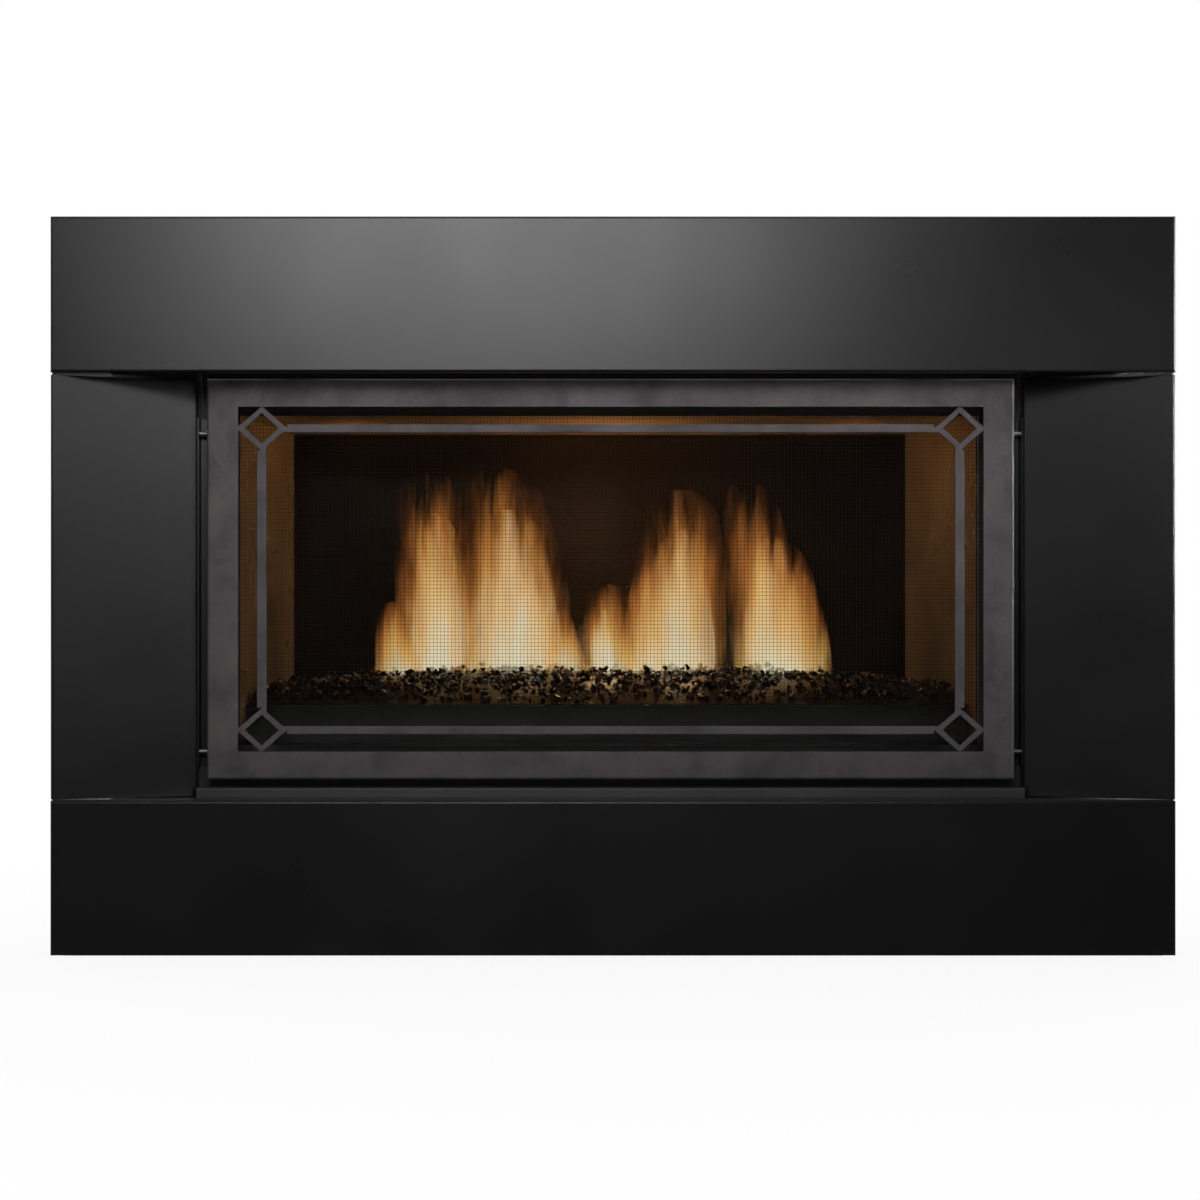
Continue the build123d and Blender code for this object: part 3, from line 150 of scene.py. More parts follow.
def attribute(tree, label):
    """A number that the mesh carries at each point."""
    return put(tree, "ShaderNodeAttribute", attribute_name=label).outputs["Fac"]


def blend_colour(tree, share, first, second):
    """The first colour at share 0 and the second at share 1."""
    return put(tree, "ShaderNodeMix", {0: share, 6: first, 7: second}, data_type="RGBA").outputs[2]


def colour_ramp(tree, value, first, last, between):
    """A ramp from the first colour to the last, with others at their own places between."""
    ramp = put(tree, "ShaderNodeValToRGB", {"Fac": value})
    ramp.color_ramp.elements[0].color = first
    ramp.color_ramp.elements[1].color = last
    for place, colour in between.items():
        ramp.color_ramp.elements.new(place).color = colour
    return ramp.outputs["Color"]


def span(tree, value, low, high, to_low=0.0, to_high=1.0):
    """A value moved from one range to another and held within it."""
    feeds = {"Value": value, "From Min": low, "From Max": high, "To Min": to_low, "To Max": to_high}
    return put(tree, "ShaderNodeMapRange", feeds).outputs[0]


def effect(name, inputs, outputs):
    """An empty shader node group with named inputs and outputs."""
    tree = bpy.data.node_groups.new(name, "ShaderNodeTree")
    for label, kind, value in inputs:
        tree.interface.new_socket(label, in_out="INPUT", socket_type=kind).default_value = value
    for label, kind in outputs:
        tree.interface.new_socket(label, in_out="OUTPUT", socket_type=kind)
    return tree, tree.nodes.new("NodeGroupInput").outputs, tree.nodes.new("NodeGroupOutput").inputs


FLOAT, VECTOR, COLOUR = "NodeSocketFloat", "NodeSocketVector", "NodeSocketColor"


def make_coat_grain():
    """Orange-peel of a sprayed or moulded skin: fine bumps and broad cloudy patches."""
    tree, given, out = effect(
        "coat_grain",
        [("Grain Size", FLOAT, 0.0008), ("Patch Size", FLOAT, 0.12)],
        [("Tone", FLOAT), ("Height", FLOAT)],
    )
    place = put(tree, "ShaderNodeTexCoord").outputs["Object"]
    fine = put(tree, "ShaderNodeTexNoise", {
        "Vector": place, "Scale": calc(tree, "DIVIDE", 1.0, given["Grain Size"]), "Detail": 2.0})
    broad = put(tree, "ShaderNodeTexNoise", {
        "Vector": place, "Scale": calc(tree, "DIVIDE", 1.0, given["Patch Size"]), "Detail": 4.0})
    tree.links.new(span(tree, broad.outputs[0], 0.3, 0.7), out["Tone"])
    tree.links.new(fine.outputs[0], out["Height"])
    return tree


def make_rubbed_edge():
    """Where a corner is rounded over and its finish is rubbed thin."""
    tree, given, out = effect(
        "rubbed_edge",
        [("Radius", FLOAT, 0.0008), ("Reach", FLOAT, 3.0), ("Patch Size", FLOAT, 0.03)],
        [("Mask", FLOAT), ("Normal", VECTOR)],
    )
    rounded = put(tree, "ShaderNodeBevel", {"Radius": given["Radius"]}, samples=4).outputs[0]
    flat = put(tree, "ShaderNodeNewGeometry").outputs["Normal"]
    along = put(tree, "ShaderNodeVectorMath", {0: rounded, 1: flat}, operation="DOT_PRODUCT")
    apart = calc(tree, "SUBTRACT", 1.0, along.outputs["Value"])
    bent = calc(tree, "MULTIPLY", apart, given["Reach"], clamp=True)
    place = put(tree, "ShaderNodeTexCoord").outputs["Object"]
    patch = put(tree, "ShaderNodeTexNoise", {
        "Vector": place, "Scale": calc(tree, "DIVIDE", 1.0, given["Patch Size"]), "Detail": 5.0}).outputs[0]
    tree.links.new(calc(tree, "MULTIPLY", bent, span(tree, patch, 0.42, 0.62)), out["Mask"])
    tree.links.new(rounded, out["Normal"])
    return tree


def make_settled_dust():
    """Fine dust on what faces upward."""
    tree, given, out = effect(
        "settled_dust",
        [("Amount", FLOAT, 0.3), ("Patch Size", FLOAT, 0.05)],
        [("Mask", FLOAT)],
    )
    normal = put(tree, "ShaderNodeNewGeometry").outputs["Normal"]
    facing = put(tree, "ShaderNodeSeparateXYZ", {0: normal}).outputs[2]
    place = put(tree, "ShaderNodeTexCoord").outputs["Object"]
    patch = put(tree, "ShaderNodeTexNoise", {
        "Vector": place, "Scale": calc(tree, "DIVIDE", 1.0, given["Patch Size"]), "Detail": 6.0}).outputs[0]
    lying = calc(tree, "MULTIPLY", span(tree, facing, 0.35, 1.0), span(tree, patch, 0.3, 0.75))
    tree.links.new(calc(tree, "MULTIPLY", lying, given["Amount"]), out["Mask"])
    return tree


def make_drawn_lines():
    """Long fine lines left by rolling, brushing or turning."""
    tree, given, out = effect(
        "drawn_lines",
        [("Stretch", VECTOR, (40.0, 2000.0, 2000.0))],
        [("Tone", FLOAT), ("Height", FLOAT)],
    )
    place = put(tree, "ShaderNodeTexCoord").outputs["Object"]
    pulled = stretched(tree, place, given["Stretch"])
    lines = put(tree, "ShaderNodeTexNoise", {"Vector": pulled, "Scale": 1.0, "Detail": 3.0}).outputs[0]
    tree.links.new(span(tree, lines, 0.3, 0.7), out["Tone"])
    tree.links.new(lines, out["Height"])
    return tree


def make_zinc_spangle():
    """Crystal flakes of a zinc coat."""
    tree, given, out = effect(
        "zinc_spangle",
        [("Flake Size", FLOAT, 0.008)],
        [("Tone", FLOAT), ("Bloom", FLOAT)],
    )
    place = put(tree, "ShaderNodeTexCoord").outputs["Object"]
    flakes = put(tree, "ShaderNodeTexVoronoi", {
        "Vector": place, "Scale": calc(tree, "DIVIDE", 1.0, given["Flake Size"]), "Randomness": 1.0})
    flake_tone = put(tree, "ShaderNodeSeparateColor", {0: flakes.outputs["Color"]}).outputs[0]
    tree.links.new(flake_tone, out["Tone"])
    bloom = put(tree, "ShaderNodeTexNoise", {"Vector": place, "Scale": 9.0, "Detail": 5.0}).outputs[0]
    tree.links.new(span(tree, bloom, 0.35, 0.7), out["Bloom"])
    return tree


def make_heat_bloom():
    """Drifting colours that heat leaves in sheet metal."""
    tree, given, out = effect(
        "heat_bloom",
        [("Straw", COLOUR, (0.5, 0.35, 0.2, 1)), ("Bronze", COLOUR, (0.3, 0.17, 0.09, 1)),
         ("Blue", COLOUR, (0.12, 0.11, 0.13, 1)), ("Patch Size", FLOAT, 0.12)],
        [("Color", COLOUR), ("Tone", FLOAT)],
    )
    place = put(tree, "ShaderNodeTexCoord").outputs["Object"]
    drift = put(tree, "ShaderNodeTexNoise", {
        "Vector": place, "Scale": calc(tree, "DIVIDE", 1.0, given["Patch Size"]), "Detail": 3.0,
        "Distortion": 0.6}).outputs[0]
    warm = blend_colour(tree, span(tree, drift, 0.32, 0.52), given["Straw"], given["Bronze"])
    tree.links.new(blend_colour(tree, span(tree, drift, 0.55, 0.72), warm, given["Blue"]), out["Color"])
    tree.links.new(drift, out["Tone"])
    return tree


coat_grain = make_coat_grain()
rubbed_edge = make_rubbed_edge()
settled_dust = make_settled_dust()
drawn_lines = make_drawn_lines()
zinc_spangle = make_zinc_spangle()
heat_bloom = make_heat_bloom()


def use(tree, group, **feeds):
    """Adds a shared effect; its inputs are named with an underscore for each space."""
    made = tree.nodes.new("ShaderNodeGroup")
    made.node_tree = group
    for label, value in feeds.items():
        socket = made.inputs[label.replace("_", " ")]
        if isinstance(value, bpy.types.NodeSocket):
            tree.links.new(value, socket)
        else:
            socket.default_value = value
    return made.outputs


def surface_of(name):
    """A new material's tree and its Principled shader."""
    material = bpy.data.materials.new(name)
    material.use_nodes = True
    return material, material.node_tree, material.node_tree.nodes["Principled BSDF"]


def shade(colour, factor):
    """An opaque colour, made lighter or darker by a factor."""
    return tuple(min(1.0, c * factor) for c in colour[:3]) + (1.0,)


def raise_bumps(tree, surface, height, depth, normal=None):
    """Bumps of so many metres, over a rounded normal if there is one."""
    feeds = {"Height": height, "Distance": depth, "Strength": 1.0}
    if normal is not None:
        feeds["Normal"] = normal
    tree.links.new(put(tree, "ShaderNodeBump", feeds).outputs[0], surface.inputs["Normal"])


# Finishes --------------------------------------------------------------------------------
def coated(name, colour, roughness, grain=0.0009, depth=0.00004, rubbed=(0.3, 0.3, 0.3), rub=2.0,
           edge=0.0008, dust=0.25, specular=0.5, drift=0.14):
    """A sprayed, dipped or moulded skin over metal or plastic."""
    material, tree, surface = surface_of(name)
    skin = use(tree, coat_grain, Grain_Size=grain, Patch_Size=0.14)
    corner = use(tree, rubbed_edge, Radius=edge, Reach=rub, Patch_Size=0.03)
    lint = use(tree, settled_dust, Amount=dust, Patch_Size=0.06)
    toned = blend_colour(tree, skin["Tone"], shade(colour, 0.82), shade(colour, 1.2))
    worn = blend_colour(tree, corner["Mask"], toned, shade(rubbed, 1.0))
    tree.links.new(blend_colour(tree, lint["Mask"], worn, DUST_TONE), surface.inputs["Base Color"])
    uneven = span(tree, skin["Tone"], 0.0, 1.0, roughness - drift * 0.3, roughness + drift * 0.3)
    dusty = calc(tree, "ADD", uneven, calc(tree, "MULTIPLY", lint["Mask"], 0.3), clamp=True)
    tree.links.new(dusty, surface.inputs["Roughness"])
    surface.inputs["Specular IOR Level"].default_value = specular
    raise_bumps(tree, surface, skin["Height"], depth, corner["Normal"])
    return material


def bare_metal(name, colour, roughness, stretch=(60.0, 1500.0, 1500.0), depth=0.00002, flake=None):
    """Rolled, turned or plated metal with its drawn lines and a dulled bloom."""
    material, tree, surface = surface_of(name)
    lines = use(tree, drawn_lines, Stretch=stretch)
    corner = use(tree, rubbed_edge, Radius=0.0006, Reach=2.0, Patch_Size=0.02)
    lint = use(tree, settled_dust, Amount=0.15, Patch_Size=0.05)
    toned = blend_colour(tree, lines["Tone"], shade(colour, 0.86), shade(colour, 1.08))
    rough = span(tree, lines["Tone"], 0.0, 1.0, roughness - 0.05, roughness + 0.08)
    if flake:
        crystal = use(tree, zinc_spangle, Flake_Size=flake)
        toned = blend_colour(tree, crystal["Tone"], toned, shade(colour, 0.7))
        toned = blend_colour(tree, calc(tree, "MULTIPLY", crystal["Bloom"], 0.35), toned, shade(colour, 0.6))
        rough = calc(tree, "ADD", rough, calc(tree, "MULTIPLY", crystal["Tone"], 0.16), clamp=True)
    bright = blend_colour(tree, corner["Mask"], toned, shade(colour, 1.3))
    tree.links.new(blend_colour(tree, lint["Mask"], bright, METAL_DUST_TONE), surface.inputs["Base Color"])
    tree.links.new(calc(tree, "ADD", rough, calc(tree, "MULTIPLY", lint["Mask"], 0.3), clamp=True),
                   surface.inputs["Roughness"])
    surface.inputs["Metallic"].default_value = 1.0
    raise_bumps(tree, surface, lines["Height"], depth, corner["Normal"])
    return material


def heat_tinted(name, straw, bronze, blue, roughness, metallic=1.0, patch=0.12):
    """Sheet metal coloured by the fire."""
    material, tree, surface = surface_of(name)
    bloom = use(tree, heat_bloom, Straw=shade(straw, 1), Bronze=shade(bronze, 1), Blue=shade(blue, 1),
                Patch_Size=patch)
    lines = use(tree, drawn_lines, Stretch=(900.0, 50.0, 900.0))
    corner = use(tree, rubbed_edge, Radius=0.0006, Reach=2.0, Patch_Size=0.02)
    streaked = blend_colour(tree, lines["Tone"], bloom["Color"], shade(bronze, 0.8))
    tree.links.new(blend_colour(tree, 0.65, streaked, bloom["Color"]), surface.inputs["Base Color"])
    uneven = span(tree, bloom["Tone"], 0.3, 0.7, roughness - 0.06, roughness + 0.08)
    tree.links.new(uneven, surface.inputs["Roughness"])
    surface.inputs["Metallic"].default_value = metallic
    raise_bumps(tree, surface, lines["Height"], 0.00003, corner["Normal"])
    return material


def gun_metal_patina():
    """Clear-coated bronze patina of the cut front plate: soft warm and cool clouds under a satin coat."""
    material, tree, surface = surface_of("front_patina")
    place = put(tree, "ShaderNodeTexCoord").outputs["Object"]
    clouds = put(tree, "ShaderNodeTexNoise", {
        "Vector": place, "Scale": 16.0, "Detail": 6.0, "Roughness": 0.62, "Distortion": 0.4}).outputs[0]
    specks = put(tree, "ShaderNodeTexNoise", {"Vector": place, "Scale": 240.0, "Detail": 4.0}).outputs[0]
    skin = use(tree, coat_grain, Grain_Size=0.0007, Patch_Size=0.09)
    corner = use(tree, rubbed_edge, Radius=0.0009, Reach=2.6, Patch_Size=0.05)
    lint = use(tree, settled_dust, Amount=0.2, Patch_Size=0.06)
    dark, mid, warm = (0.037, 0.032, 0.033, 1), (0.064, 0.056, 0.058, 1), (0.090, 0.073, 0.068, 1)
    speck, rubbed, dusty = (0.030, 0.026, 0.027, 1), (0.2, 0.172, 0.16, 1), (0.2, 0.185, 0.17, 1)
    body = blend_colour(tree, span(tree, clouds, 0.32, 0.52), dark, mid)
    body = blend_colour(tree, span(tree, clouds, 0.56, 0.74), body, warm)
    body = blend_colour(tree, span(tree, specks, 0.55, 0.75, 0.0, 0.35), body, speck)
    body = blend_colour(tree, calc(tree, "MULTIPLY", corner["Mask"], 0.8), body, rubbed)
    tree.links.new(blend_colour(tree, lint["Mask"], body, dusty), surface.inputs["Base Color"])
    tree.links.new(span(tree, clouds, 0.3, 0.7, 0.5, 0.4), surface.inputs["Roughness"])
    surface.inputs["Metallic"].default_value = 0.35
    surface.inputs["Specular IOR Level"].default_value = 0.3
    raise_bumps(tree, surface, skin["Height"], 0.00004, corner["Normal"])
    return material


def gloss_enamel():
    """Dark vitreous enamel of the back liner, cloudy and a little dusty."""
    material, tree, surface = surface_of("liner_enamel")
    skin = use(tree, coat_grain, Grain_Size=0.006, Patch_Size=0.2)
    haze = use(tree, settled_dust, Amount=0.15, Patch_Size=0.08)
    toned = blend_colour(tree, skin["Tone"], (0.0065, 0.0040, 0.0018, 1), (0.0115, 0.0070, 0.0030, 1))
    hazy = blend_colour(tree, haze["Mask"], toned, (0.2, 0.18, 0.16, 1))
    tree.links.new(hazy, surface.inputs["Base Color"])
    tree.links.new(span(tree, skin["Tone"], 0.0, 1.0, 0.13, 0.19), surface.inputs["Roughness"])
    surface.inputs["Specular IOR Level"].default_value = 0.3
    surface.inputs["Coat Weight"].default_value = 0.05
    surface.inputs["Coat Roughness"].default_value = 0.12
    raise_bumps(tree, surface, skin["Height"], 0.00008)
    return material


def ceramic_pane():
    """Clear ceramic glass with a faint warm film."""
    material, tree, surface = surface_of("ceramic_glass")
    film = use(tree, coat_grain, Grain_Size=0.02, Patch_Size=0.12)
    tree.links.new(blend_colour(tree, film["Tone"], (0.95, 0.94, 0.92, 1), (0.88, 0.86, 0.82, 1)),
                   surface.inputs["Base Color"])
    surface.inputs["Roughness"].default_value = 0.0
    surface.inputs["Transmission Weight"].default_value = 1.0
    surface.inputs["IOR"].default_value = 1.15
    return material


def knitted_rope(name, pale, deep, soot_tone):
    """Knitted heat-proof rope or felt, darkened in patches by soot."""
    material, tree, surface = surface_of(name)
    place = put(tree, "ShaderNodeTexCoord").outputs["Object"]
    knit = put(tree, "ShaderNodeTexVoronoi", {"Vector": place, "Scale": 520.0})
    soot = use(tree, coat_grain, Grain_Size=0.002, Patch_Size=0.05)
    toned = blend_colour(tree, knit.outputs["Distance"], pale, deep)
    tree.links.new(blend_colour(tree, calc(tree, "MULTIPLY", soot["Tone"], 0.5), toned, soot_tone),
                   surface.inputs["Base Color"])
    tree.links.new(span(tree, soot["Tone"], 0.0, 1.0, 0.8, 0.95), surface.inputs["Roughness"])
    surface.inputs["Sheen Weight"].default_value = 0.3
    raise_bumps(tree, surface, knit.outputs["Distance"], 0.0006)
    return material


def crushed_glassy(name, read_tone):
    """Fire media: broken glassy stone from near black to amber brown, each chip with its own tone."""
    material, tree, surface = surface_of(name)
    skin = use(tree, coat_grain, Grain_Size=0.004, Patch_Size=0.05)
    if read_tone:
        tone = attribute(tree, "chip_tone")
    else:
        tone = calc(tree, "MULTIPLY", skin["Tone"], 0.5)
    stone = colour_ramp(tree, tone, (0.003, 0.0027, 0.0025, 1), (0.22, 0.115, 0.055, 1), {
        0.35: (0.006, 0.0052, 0.005, 1),
        0.6: (0.028, 0.017, 0.011, 1),
        0.82: (0.085, 0.046, 0.023, 1),
    })
    ash = use(tree, settled_dust, Amount=0.12, Patch_Size=0.02)
    ashen = blend_colour(tree, ash["Mask"], stone, (0.12, 0.105, 0.09, 1))
    tree.links.new(ashen, surface.inputs["Base Color"])
    tree.links.new(span(tree, skin["Tone"], 0.0, 1.0, 0.12, 0.34), surface.inputs["Roughness"])
    surface.inputs["Coat Weight"].default_value = 0.15
    surface.inputs["Coat Roughness"].default_value = 0.06
    raise_bumps(tree, surface, skin["Height"], 0.0005)
    return material


def burning_gas():
    """Flame: pale yellow heart, orange skin, brown translucent tip."""
    material, tree, surface = surface_of("burning_gas")
    along = attribute(tree, "along")
    across = attribute(tree, "across")
    heart = attribute(tree, "heart")
    place = put(tree, "ShaderNodeTexCoord").outputs["Object"]
    streaks = put(tree, "ShaderNodeTexNoise", {
        "Vector": stretched(tree, place, (210.0, 60.0, 7.0)), "Scale": 1.0, "Detail": 2.0}).outputs[0]
    licks = put(tree, "ShaderNodeTexNoise", {
        "Vector": stretched(tree, place, (52.0, 20.0, 10.0)), "Scale": 1.0, "Detail": 3.0,
        "Distortion": 0.3}).outputs[0]
    fine = calc(tree, "MULTIPLY", calc(tree, "SUBTRACT", streaks, 0.5), 0.3)
    ragged = calc(tree, "ADD", calc(tree, "MULTIPLY", calc(tree, "SUBTRACT", licks, 0.5), 0.9), fine)
    cool = calc(tree, "ADD", calc(tree, "MULTIPLY", along, 0.75), calc(tree, "MULTIPLY", across, 0.4))
    cool = calc(tree, "ADD", cool, calc(tree, "MULTIPLY", ragged, 0.6))
    cool = calc(tree, "SUBTRACT", calc(tree, "ADD", cool, 0.18), calc(tree, "MULTIPLY", heart, 0.54))
    glow = colour_ramp(tree, cool, (0.76, 0.78, 0.72, 1), (0.15, 0.046, 0.010, 1), {
        0.26: (0.79, 0.72, 0.46, 1),
        0.5: (0.80, 0.46, 0.13, 1),
        0.74: (0.5, 0.18, 0.04, 1),
    })
    surface.inputs["Base Color"].default_value = (0, 0, 0, 1)
    surface.inputs["Roughness"].default_value = 1.0
    surface.inputs["Specular IOR Level"].default_value = 0.0
    tree.links.new(glow, surface.inputs["Emission Color"])
    surface.inputs["Emission Strength"].default_value = 1.0
    soft = span(tree, calc(tree, "ADD", across, calc(tree, "MULTIPLY", ragged, 0.8)), 0.45, 1.05, 1.0, 0.0)
    fading = span(tree, calc(tree, "ADD", along, calc(tree, "MULTIPLY", ragged, 1.2)), 0.55, 1.0, 1.0, 0.0)
    rising = span(tree, along, 0.0, 0.06, 0.25, 1.0)
    alpha = calc(tree, "MULTIPLY", calc(tree, "MULTIPLY", soft, fading), rising)
    body = span(tree, heart, 0.0, 1.0, 0.5, 0.84)
    tree.links.new(calc(tree, "MULTIPLY", alpha, body), surface.inputs["Alpha"])
    return material


finishes = {
    "surround_black": coated("surround_black", (0.0028, 0.0028, 0.0029), 0.29, rubbed=(0.06, 0.06, 0.06),
                             dust=0.03, drift=0.06),
    "front_patina": gun_metal_patina(),
    "mesh_black": coated("mesh_black", (0.004, 0.0038, 0.0036), 0.6, rub=0.0, edge=0.0001, dust=0.0,
                         specular=0.12),
    "bracket_zinc": bare_metal("bracket_zinc", (0.55, 0.56, 0.57), 0.38, flake=0.003),
    "bright_steel": bare_metal("bright_steel", (0.34, 0.34, 0.35), 0.42),
    "magnet_dark": coated("magnet_dark", (0.05, 0.05, 0.052), 0.5, depth=0.00008),
    "firebox_black": coated("firebox_black", (0.010, 0.0098, 0.0095), 0.62, depth=0.00007,
                            rubbed=(0.06, 0.055, 0.05)),
    "casing_galvanised": bare_metal("casing_galvanised", (0.56, 0.58, 0.6), 0.34, flake=0.014),
    "liner_bronze": heat_tinted("liner_bronze", straw=(0.32, 0.225, 0.13), bronze=(0.24, 0.155, 0.08),
                                blue=(0.15, 0.105, 0.065), roughness=0.30, metallic=0.35),
    "liner_enamel": gloss_enamel(),
    "glass_frame_black": coated("glass_frame_black", (0.012, 0.012, 0.012), 0.55,
                                rubbed=(0.08, 0.075, 0.07)),
    "ceramic_glass": ceramic_pane(),
    "gasket_rope": knitted_rope("gasket_rope", (0.5, 0.48, 0.44, 1), (0.22, 0.21, 0.19, 1),
                                (0.08, 0.07, 0.06, 1)),
    "burner_steel": heat_tinted("burner_steel", straw=(0.5, 0.4, 0.3), bronze=(0.34, 0.24, 0.18),
                                blue=(0.14, 0.14, 0.2), roughness=0.34, patch=0.05),
    "media_crushed": crushed_glassy("media_crushed", read_tone=False),
    "valve_alloy": bare_metal("valve_alloy", (0.58, 0.58, 0.59), 0.42, stretch=(400.0, 400.0, 400.0),
                              depth=0.0001),
    "valve_brass": bare_metal("valve_brass", (0.62, 0.43, 0.17), 0.3, stretch=(900.0, 900.0, 900.0)),
    "knob_black": coated("knob_black", (0.018, 0.018, 0.018), 0.5, grain=0.0006, depth=0.00006, dust=0.1),
    "switch_black": coated("switch_black", (0.016, 0.016, 0.017), 0.28, rub=0.6, dust=0.12),
    "button_red": coated("button_red", (0.42, 0.025, 0.018), 0.3, rubbed=(0.5, 0.12, 0.1), rub=0.8),
    "lever_yellow": coated("lever_yellow", (0.68, 0.46, 0.04), 0.42, rubbed=(0.4, 0.38, 0.3)),
    "rotor_aluminium": bare_metal("rotor_aluminium", (0.62, 0.63, 0.64), 0.32),
    "motor_black": coated("motor_black", (0.03, 0.03, 0.032), 0.45),
}
chips_finish = crushed_glassy("media_chips", read_tone=True)
flame_finish = burning_gas()
sill_finish = coated("sill_satin_black", (0.020, 0.020, 0.020), 0.42, rubbed=(0.1, 0.1, 0.1), dust=0.05)
# Dark knit for the strips of painted shade put in the surround's dark slots and seams.
painted_shade_finish = knitted_rope(
    "painted_shade_ribbon_black", (0.02, 0.02, 0.02, 1), (0.008, 0.008, 0.008, 1), (0.012, 0.011, 0.01, 1))


def dress(piece, finish):
    """Gives a piece its one material."""
    piece.data.materials.clear()
    piece.data.materials.append(finish)


for part in frame["record"]["subparts"]:
    dress(frame["nodes"][part["node"]], finishes[part["material_slot"]])
dress(frame["nodes"]["sill_trim"], sill_finish)


def add_object(name, data):
    """Puts a mesh, a lamp or a camera into the scene."""
    made = bpy.data.objects.new(name, data)
    bpy.context.scene.collection.objects.link(made)
    return made


def add_piece(name, points, faces, body, slot=None, finish=None, smooth=True):
    """Adds a mesh that rides on a body, in its own finish or in that of its slot."""
    mesh = bpy.data.meshes.new(name)
    mesh.from_pydata(points, [], faces)
    mesh.update()
    for polygon in mesh.polygons:
        polygon.use_smooth = smooth
    piece = add_object(name, mesh)
    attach(piece, body)
    dress(piece, finish or finishes[slot])
    return piece


def tube_faces(first, rings, sides):
    """Faces of a closed tube: its rings of points follow one another from the index first."""
    faces = []
    for ring in range(rings - 1):
        for side in range(sides):
            here = first + ring * sides + side
            beside = first + ring * sides + (side + 1) % sides
            faces.append((here, beside, beside + sides, here + sides))
    last = first + (rings - 1) * sides
    faces.append(tuple(range(first + sides - 1, first - 1, -1)))
    faces.append(tuple(range(last, last + sides)))
    return faces


def mark_points(piece, label, values):
    """Writes one number per point, for the material to read."""
    piece.data.attributes.new(label, "FLOAT", "POINT").data.foreach_set("value", values)


# Woven screen ----------------------------------------------------------------------------
def woven_screen():
    """Plain weave of round wire: each wire goes over one and under the next."""
    low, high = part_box("screen_mesh")
    middle = (low.y + high.y) / 2
    wave = (high.y - low.y) / 2 - WIRE_RADIUS
    columns = int((high.x - low.x) / WIRE_PITCH)
    rows = int((high.z - low.z) / WIRE_PITCH)
    start_x = (low.x + high.x) / 2 - (columns - 1) * WIRE_PITCH / 2
    start_z = (low.z + high.z) / 2 - (rows - 1) * WIRE_PITCH / 2
    points, faces = [], []

    def wire(count, spine, across):
        first = len(points)
        for step in range(count):
            centre = spine(step)
            for side in range(WIRE_SIDES):
                turn = FULL_TURN * side / WIRE_SIDES
                points.append(centre + across * (WIRE_RADIUS * math.cos(turn))
                              + Vector((0, WIRE_RADIUS * math.sin(turn), 0)))
        faces.extend(tube_faces(first, count, WIRE_SIDES))

    def crossing(column, row, over):
        bend = over * wave * (-1) ** (row + column)
        return Vector((start_x + column * WIRE_PITCH, middle + bend, start_z + row * WIRE_PITCH))

    for column in range(columns):
        wire(rows, lambda row: crossing(column, row, 1), Vector((1, 0, 0)))
    for row in range(rows):
        wire(columns, lambda column: crossing(column, row, -1), Vector((0, 0, -1)))
    screen = add_piece("woven_screen", points, faces, "front", "mesh_black")
    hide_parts("screen_mesh")


woven_screen()


# Painted shade in the slots and seams behind the surround's edges ----------------------------
def painted_shade_ribbon(name, middle, sections=90, sides=14):
    """Black woven ribbon of painted shade that shuts the slot between the surround and one edge of the
    casing.
    """
    points = []
    for section in range(sections):
        z = SHADE_RIBBON_LOW + (SHADE_RIBBON_HIGH - SHADE_RIBBON_LOW) * section / (sections - 1)
        pinch = 1.0 - SHADE_RIBBON_PINCH * math.sin(z * SHADE_RIBBON_RIPPLE) ** 2
        lap = SHADE_RIBBON_LAP * min(1.0, max(0.0, (z - LAP_FROM) / LAP_RISE))
        for side in range(sides):
            turn = FULL_TURN * side / sides
            bulge = math.copysign(abs(math.sin(turn)) ** 0.6, math.sin(turn))
            x = middle + (SHADE_RIBBON_WIDE / 2 + lap) * pinch * math.cos(turn)
            y = SHADE_RIBBON_LINE + SHADE_RIBBON_THICK / 2 * pinch * bulge
            points.append(Vector((x, y, z)))
    add_piece(name, points, tube_faces(0, sections, sides), "root", finish=painted_shade_finish)


# Painted shade: black ribbons that fill the dark slots between the surround and the casing.
painted_shade_ribbon("painted_shade_ribbon_left", -SHADE_RIBBON_MIDDLE)
painted_shade_ribbon("painted_shade_ribbon_right", SHADE_RIBBON_MIDDLE)


def seam_shade_strip(name, start, end, low, high, steps=24):
    """Thin black strip of painted shade, with softened edges, that fills a seam of the surround near its
    outer corner.
    """
    softened = [(SEAM_FRONT, SEAM_EDGE_SHARE), (SEAM_FRONT + SEAM_ROUND, 1.0),
                (SEAM_BACK - SEAM_ROUND, 1.0), (SEAM_BACK, SEAM_EDGE_SHARE)]
    points = []
    for step in range(steps + 1):
        x = start + (end - start) * step / steps
        squash = 1.0 - SEAM_SQUASH * math.sin(x * SEAM_RIPPLE) ** 2
        middle = (low + high) / 2
        half = (high - low) / 2 * squash
        points += [Vector((x, y, middle + half * share)) for y, share in softened]
        points += [Vector((x, y, middle - half * share)) for y, share in reversed(softened)]
    add_piece(name, points, tube_faces(0, steps + 1, 2 * len(softened)), "root", finish=painted_shade_finish)


# Painted shade: black strips in the seams under the header and over the shelf.
for side_name, side in (("left", -1), ("right", 1)):
    end, start = sorted((side * SEAM_INNER, side * SEAM_OUTER))
    seam_shade_strip(f"header_seam_shade_{side_name}", start, end, *HEADER_SEAM)
    seam_shade_strip(f"shelf_seam_shade_{side_name}", start, end, *SHELF_SEAM)


